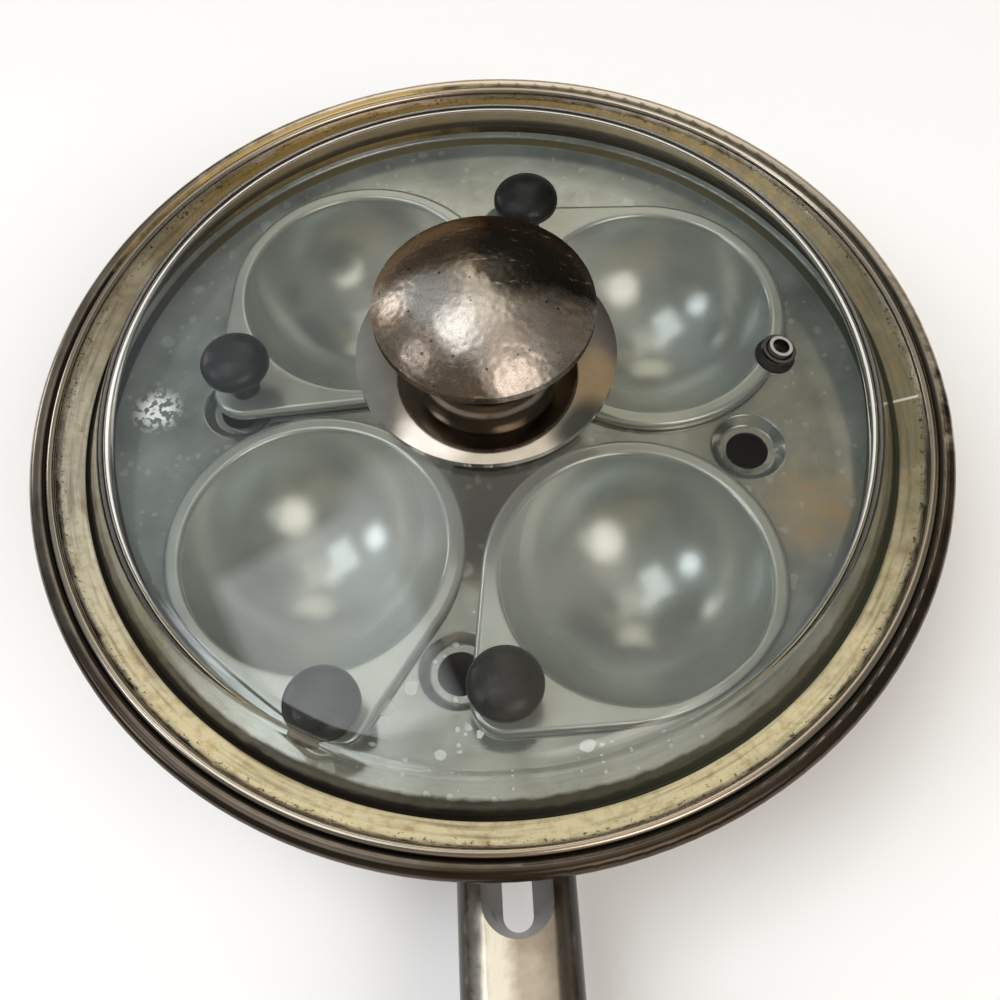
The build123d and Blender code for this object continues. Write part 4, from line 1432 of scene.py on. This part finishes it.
@dataclass(frozen=True)
class Pane:
    """Straight-edged bright field of the room, such as a window or a lit wall."""

    heading: Triple
    colour: str
    strength: float
    half_width: float
    half_height: float
    roll_degrees: float = 0.0
    soft: float = 0.02

    def mask(self, graph: Graph, look: bpy.types.NodeSocket) -> bpy.types.Node:
        """Find how far a looking direction lies inside the pane.

        The direction is cast on a plane one away along the heading. There the pane is a
        rectangle, and each pair of sides gives a ramp as wide as its softness.

        Args:
            graph: the world's graph.
            look: the looking direction.

        Returns:
            A node that gives 1 inside and 0 outside.
        """
        towards = Vector(self.heading).normalized()
        side = towards.cross(Vector((0, 0, 1))).normalized()
        side.rotate(Quaternion(towards, math.radians(self.roll_degrees)))
        up = side.cross(towards)
        deep, across, along = (
            graph.add("VectorMath", {0: look, 1: tuple(axis)}, operation="DOT_PRODUCT")
            for axis in (towards, side, up))
        ahead = graph.add("Math", {0: deep.outputs["Value"], 1: 0.05}, operation="MAXIMUM")
        cover = None
        for reach, half in ((across, self.half_width), (along, self.half_height)):
            cast = graph.add("Math", {0: reach.outputs["Value"], 1: ahead}, operation="DIVIDE")
            span = graph.add("Math", {0: cast}, operation="ABSOLUTE")
            ramp = graph.add("MapRange", {"Value": span, "From Min": half + self.soft,
                                          "From Max": half - self.soft})
            cover = ramp if cover is None else graph.add("Math", {0: cover, 1: ramp},
                                                         operation="MULTIPLY")
        return cover


@dataclass(frozen=True)
class Studio:
    """Pale floor and backdrop, soft lamps, and the quiet room that steel and glass mirror."""

    room: str = "#7b7872"
    backdrop: str = "#fafaf9"
    floor_half: float = 4.0
    floor_level: float = -0.0001
    glows: tuple[Glow, ...] = (
        Glow((0.02, 0.25, 0.96), "#dcd6c8", 1.35, 9.0, 22.0),
        Glow((-0.20, 0.25, 0.95), "#f4f3f0", 1.9, 3.0, 9.0),
        Glow((-0.02, 0.50, 0.86), "#6b6963", 1.0, 3.0, 9.0),
        Glow((0.02, 0.71, 0.70), "#b8b0a0", 2.6, 7.0, 17.0),
        Glow((0.32, 0.44, 0.84), "#a89678", 1.1, 3.0, 10.0),
        Glow((0.30, 0.27, 0.91), "#50534f", 1.0, 3.0, 9.0),
        Glow((-0.70, 0.45, 0.60), "#9aa3a6", 1.0, 8.0, 34.0),
        Glow((0.70, 0.62, 0.36), "#2b2824", 1.0, 12.0, 36.0),
        Glow((-0.25, 1.0, 0.06), "#5c524a", 1.0, 16.0, 38.0),
        Glow((0.45, 0.90, 0.12), "#55534d", 1.0, 10.0, 28.0),
        Glow((0.86, 0.22, 0.46), "#8a8273", 1.0, 5.0, 14.0),
        Glow((0.09, 0.88, 0.47), "#1d1b18", 1.0, 5.0, 13.0),
        Glow((0.10, -1.0, 0.30), "#a8977c", 1.0, 10.0, 40.0),
        Glow((0.25, -0.25, 0.93), "#b8aea2", 1.05, 8.0, 22.0),
        Glow((0.34, -0.59, 0.73), "#fff3e8", 2.6, 9.0, 19.0),
        Glow((-0.80, 0.51, 0.31), "#fff8f2", 3.6, 4.0, 10.0),
        Glow((-0.76, -0.14, 0.63), "#f2f7ff", 3.6, 5.0, 11.0),
        Glow((0.58, -0.56, 0.59), "#e8e4dc", 1.5, 3.0, 9.0),
    )
    panes: tuple[Pane, ...] = (
        Pane((-0.34, -0.01, 0.94), "#f1f5f6", 2.15, 0.24, 0.18, 20.0),
    )
    lamps: tuple[Softbox, ...] = (
        Softbox("key_lamp", (-0.45, -0.10, 0.90), 1.7, 1.1, 14.8, "#f5f8ff"),
        Softbox("fill_lamp", (0.55, -0.45, 0.75), 1.9, 1.2, 10.6, "#fcfaf8"),
    )

    def build(self) -> None:
        """Lay the floor, hang the lamps and colour the room.

        The camera sees the pale backdrop past the floor, directly and through the glass. What
        mirrors see is the room: each glow, and then each pane, laid over what came before it.
        """
        mesh = bpy.data.meshes.new("floor")
        side, level = self.floor_half, self.floor_level
        mesh.from_pydata([(-side, -side, level), (side, -side, level), (side, side, level),
                          (-side, side, level)], [], [(0, 1, 2, 3)])
        mesh.materials.append(PaleFloor("pale_paper").build())
        floor = bpy.data.objects.new("floor", mesh)
        bpy.context.scene.collection.objects.link(floor)
        for lamp in self.lamps:
            lamp.hang()
        world = bpy.data.worlds.new("room")
        bpy.context.scene.world = world
        graph = Graph(world)
        heading = graph.add("TexCoord").outputs["Generated"]
        colour = linear(self.room)
        for glow in self.glows:
            towards = tuple(Vector(glow.heading).normalized())
            light = tuple(part * glow.strength for part in linear(glow.colour)[:3]) + (1.0,)
            facing = graph.add("VectorMath", {0: heading, 1: towards}, operation="DOT_PRODUCT")
            near = graph.add("MapRange", {
                "Value": facing.outputs["Value"],
                "From Min": math.cos(math.radians(glow.outer_degrees)),
                "From Max": math.cos(math.radians(glow.inner_degrees)),
            }, interpolation_type="SMOOTHSTEP")
            colour = graph.add("Mix", {"Factor": near, "A": colour, "B": light},
                               data_type="RGBA")
        for pane in self.panes:
            light = tuple(part * pane.strength for part in linear(pane.colour)[:3]) + (1.0,)
            colour = graph.add("Mix", {"Factor": pane.mask(graph, heading), "A": colour,
                                       "B": light}, data_type="RGBA")
        path = graph.add("LightPath")
        through = graph.add("Math", {0: path.outputs["Glossy Depth"], 1: 0.5},
                            operation="LESS_THAN")
        clear = graph.add("Math", {0: path.outputs["Diffuse Depth"], 1: 0.5},
                          operation="LESS_THAN")
        through = graph.add("Math", {0: through, 1: clear}, operation="MULTIPLY")
        through = graph.add("Math", {0: through, 1: path.outputs["Is Transmission Ray"]},
                            operation="MULTIPLY")
        plain = graph.add("Math", {0: through, 1: path.outputs["Is Camera Ray"]},
                          operation="MAXIMUM")
        colour = graph.add("Mix", {"Factor": plain, "A": colour,
                                   "B": linear(self.backdrop)}, data_type="RGBA")
        sky = graph.add("Background", {"Color": colour, "Strength": 1.0})
        graph.add("OutputWorld", {"Surface": sky})


def dress_nodes(finishes: dict[Finish, tuple[str, ...]]) -> None:
    """Give CAD nodes that keep their shape their finish.

    Args:
        finishes: each finish and the nodes that take it.
    """
    for finish, nodes in finishes.items():
        material = finish.build()
        for node in nodes:
            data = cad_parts[node].data
            data.materials.clear()
            data.materials.append(material)
        log.info("%s on %s", finish.name, ", ".join(nodes))


def main() -> None:
    """Build the pan's looks, piece by piece, and the studio round it."""
    logging.basicConfig(level=logging.INFO, format="%(name)s: %(message)s")
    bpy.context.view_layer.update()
    PhotoCamera().stand()
    Studio().build()
    dress_nodes({
        SteamedPan("drawn_steel_pan", colour="#b9ada0", shade="#8f8273", roughness=0.2,
                   relief_mm=0.002, wave_mm=0.03, stain_share=0.12,
                   stain="#54401f"): ("pan_body",),
        WorkedSteel("pressed_steel_base", colour="#b5b2ad", roughness=0.34): ("base_cap",),
        SatinAluminium("cast_aluminium_core"): ("base_core",),
        PaintedLightHandle("belt_ground_steel", colour="#d8cfc2", shade="#a89c8d",
                        grain=Grain.DRAWN, roughness=0.22, wave_mm=0.02, stain_share=0.14,
                        stain="#5b4a38"): ("handle_top", "handle_base", "handle_saddle"),
        SpottedTray("polished_steel_tray", colour="#b3b8b5", shade="#8b908d", roughness=0.14,
                    spread=0.04, grain=Grain.CROSSED, grain_mm=3.0, relief_mm=0.0,
                    wave_mm=0.06, wave_size_mm=26.0): ("tray",),
        ScuffedKnob("scuffed_steel_knob", colour="#e2dad2", shade="#b9aea4",
                    grain=Grain.CROSSED, roughness=0.29, spread=0.14, relief_mm=0.006,
                    wave_mm=0.16, wave_size_mm=5.0, pit_mm=0.09,
                    edge="#8d867e"): ("knob_dome",),
        WorkedSteel("polished_steel_plate", colour="#d8d2ca", shade="#b9b0a6", roughness=0.07,
                    spread=0.03, relief_mm=0.001, wave_mm=0.015,
                    stain_share=0.03): ("knob_plate",),
        # Painted shade: the neck under the dome takes a darker copy of the knob's steel.
        WorkedSteel("shaded_steel_neck", colour="#a39a8f", shade="#6f675e",
                    roughness=0.16, wave_mm=0.03): ("knob_neck",),
        WornEyelet("worn_nickel_eyelet"): ("vent_eyelet",),
        WorkedSteel("turned_steel_fastener", colour="#aaa69f", grain_mm=0.2, roughness=0.25):
            ("knob_nut", "under_washer", "knob_screw", "grip_screw_1", "grip_screw_2",
             "grip_screw_3", "grip_screw_4"),
        MouldedSilicone("silicone_seal"): ("knob_seal", "under_seal", "vent_washer"),
    })
    SteelRing().dress(StainedRing("stained_steel_ring").build())
    DomedGlass().dress(ToughenedGlass("toughened_glass").build())
    satin = SatinAluminium("etched_aluminium_cup").build()
    phenolic = MouldedPhenolic("moulded_phenolic_grip").build()
    for cup in (EggCup(1, (47.93, 34.92), 136.25), EggCup(2, (-34.92, 47.93), -135.75),
                EggCup(3, (-47.93, -34.92), -83.65), EggCup(4, (34.92, -47.93), -138.15)):
        cup.dress(satin, phenolic)
    bpy.context.scene.view_settings.view_transform = "Standard"


if __name__ == "__main__":
    main()
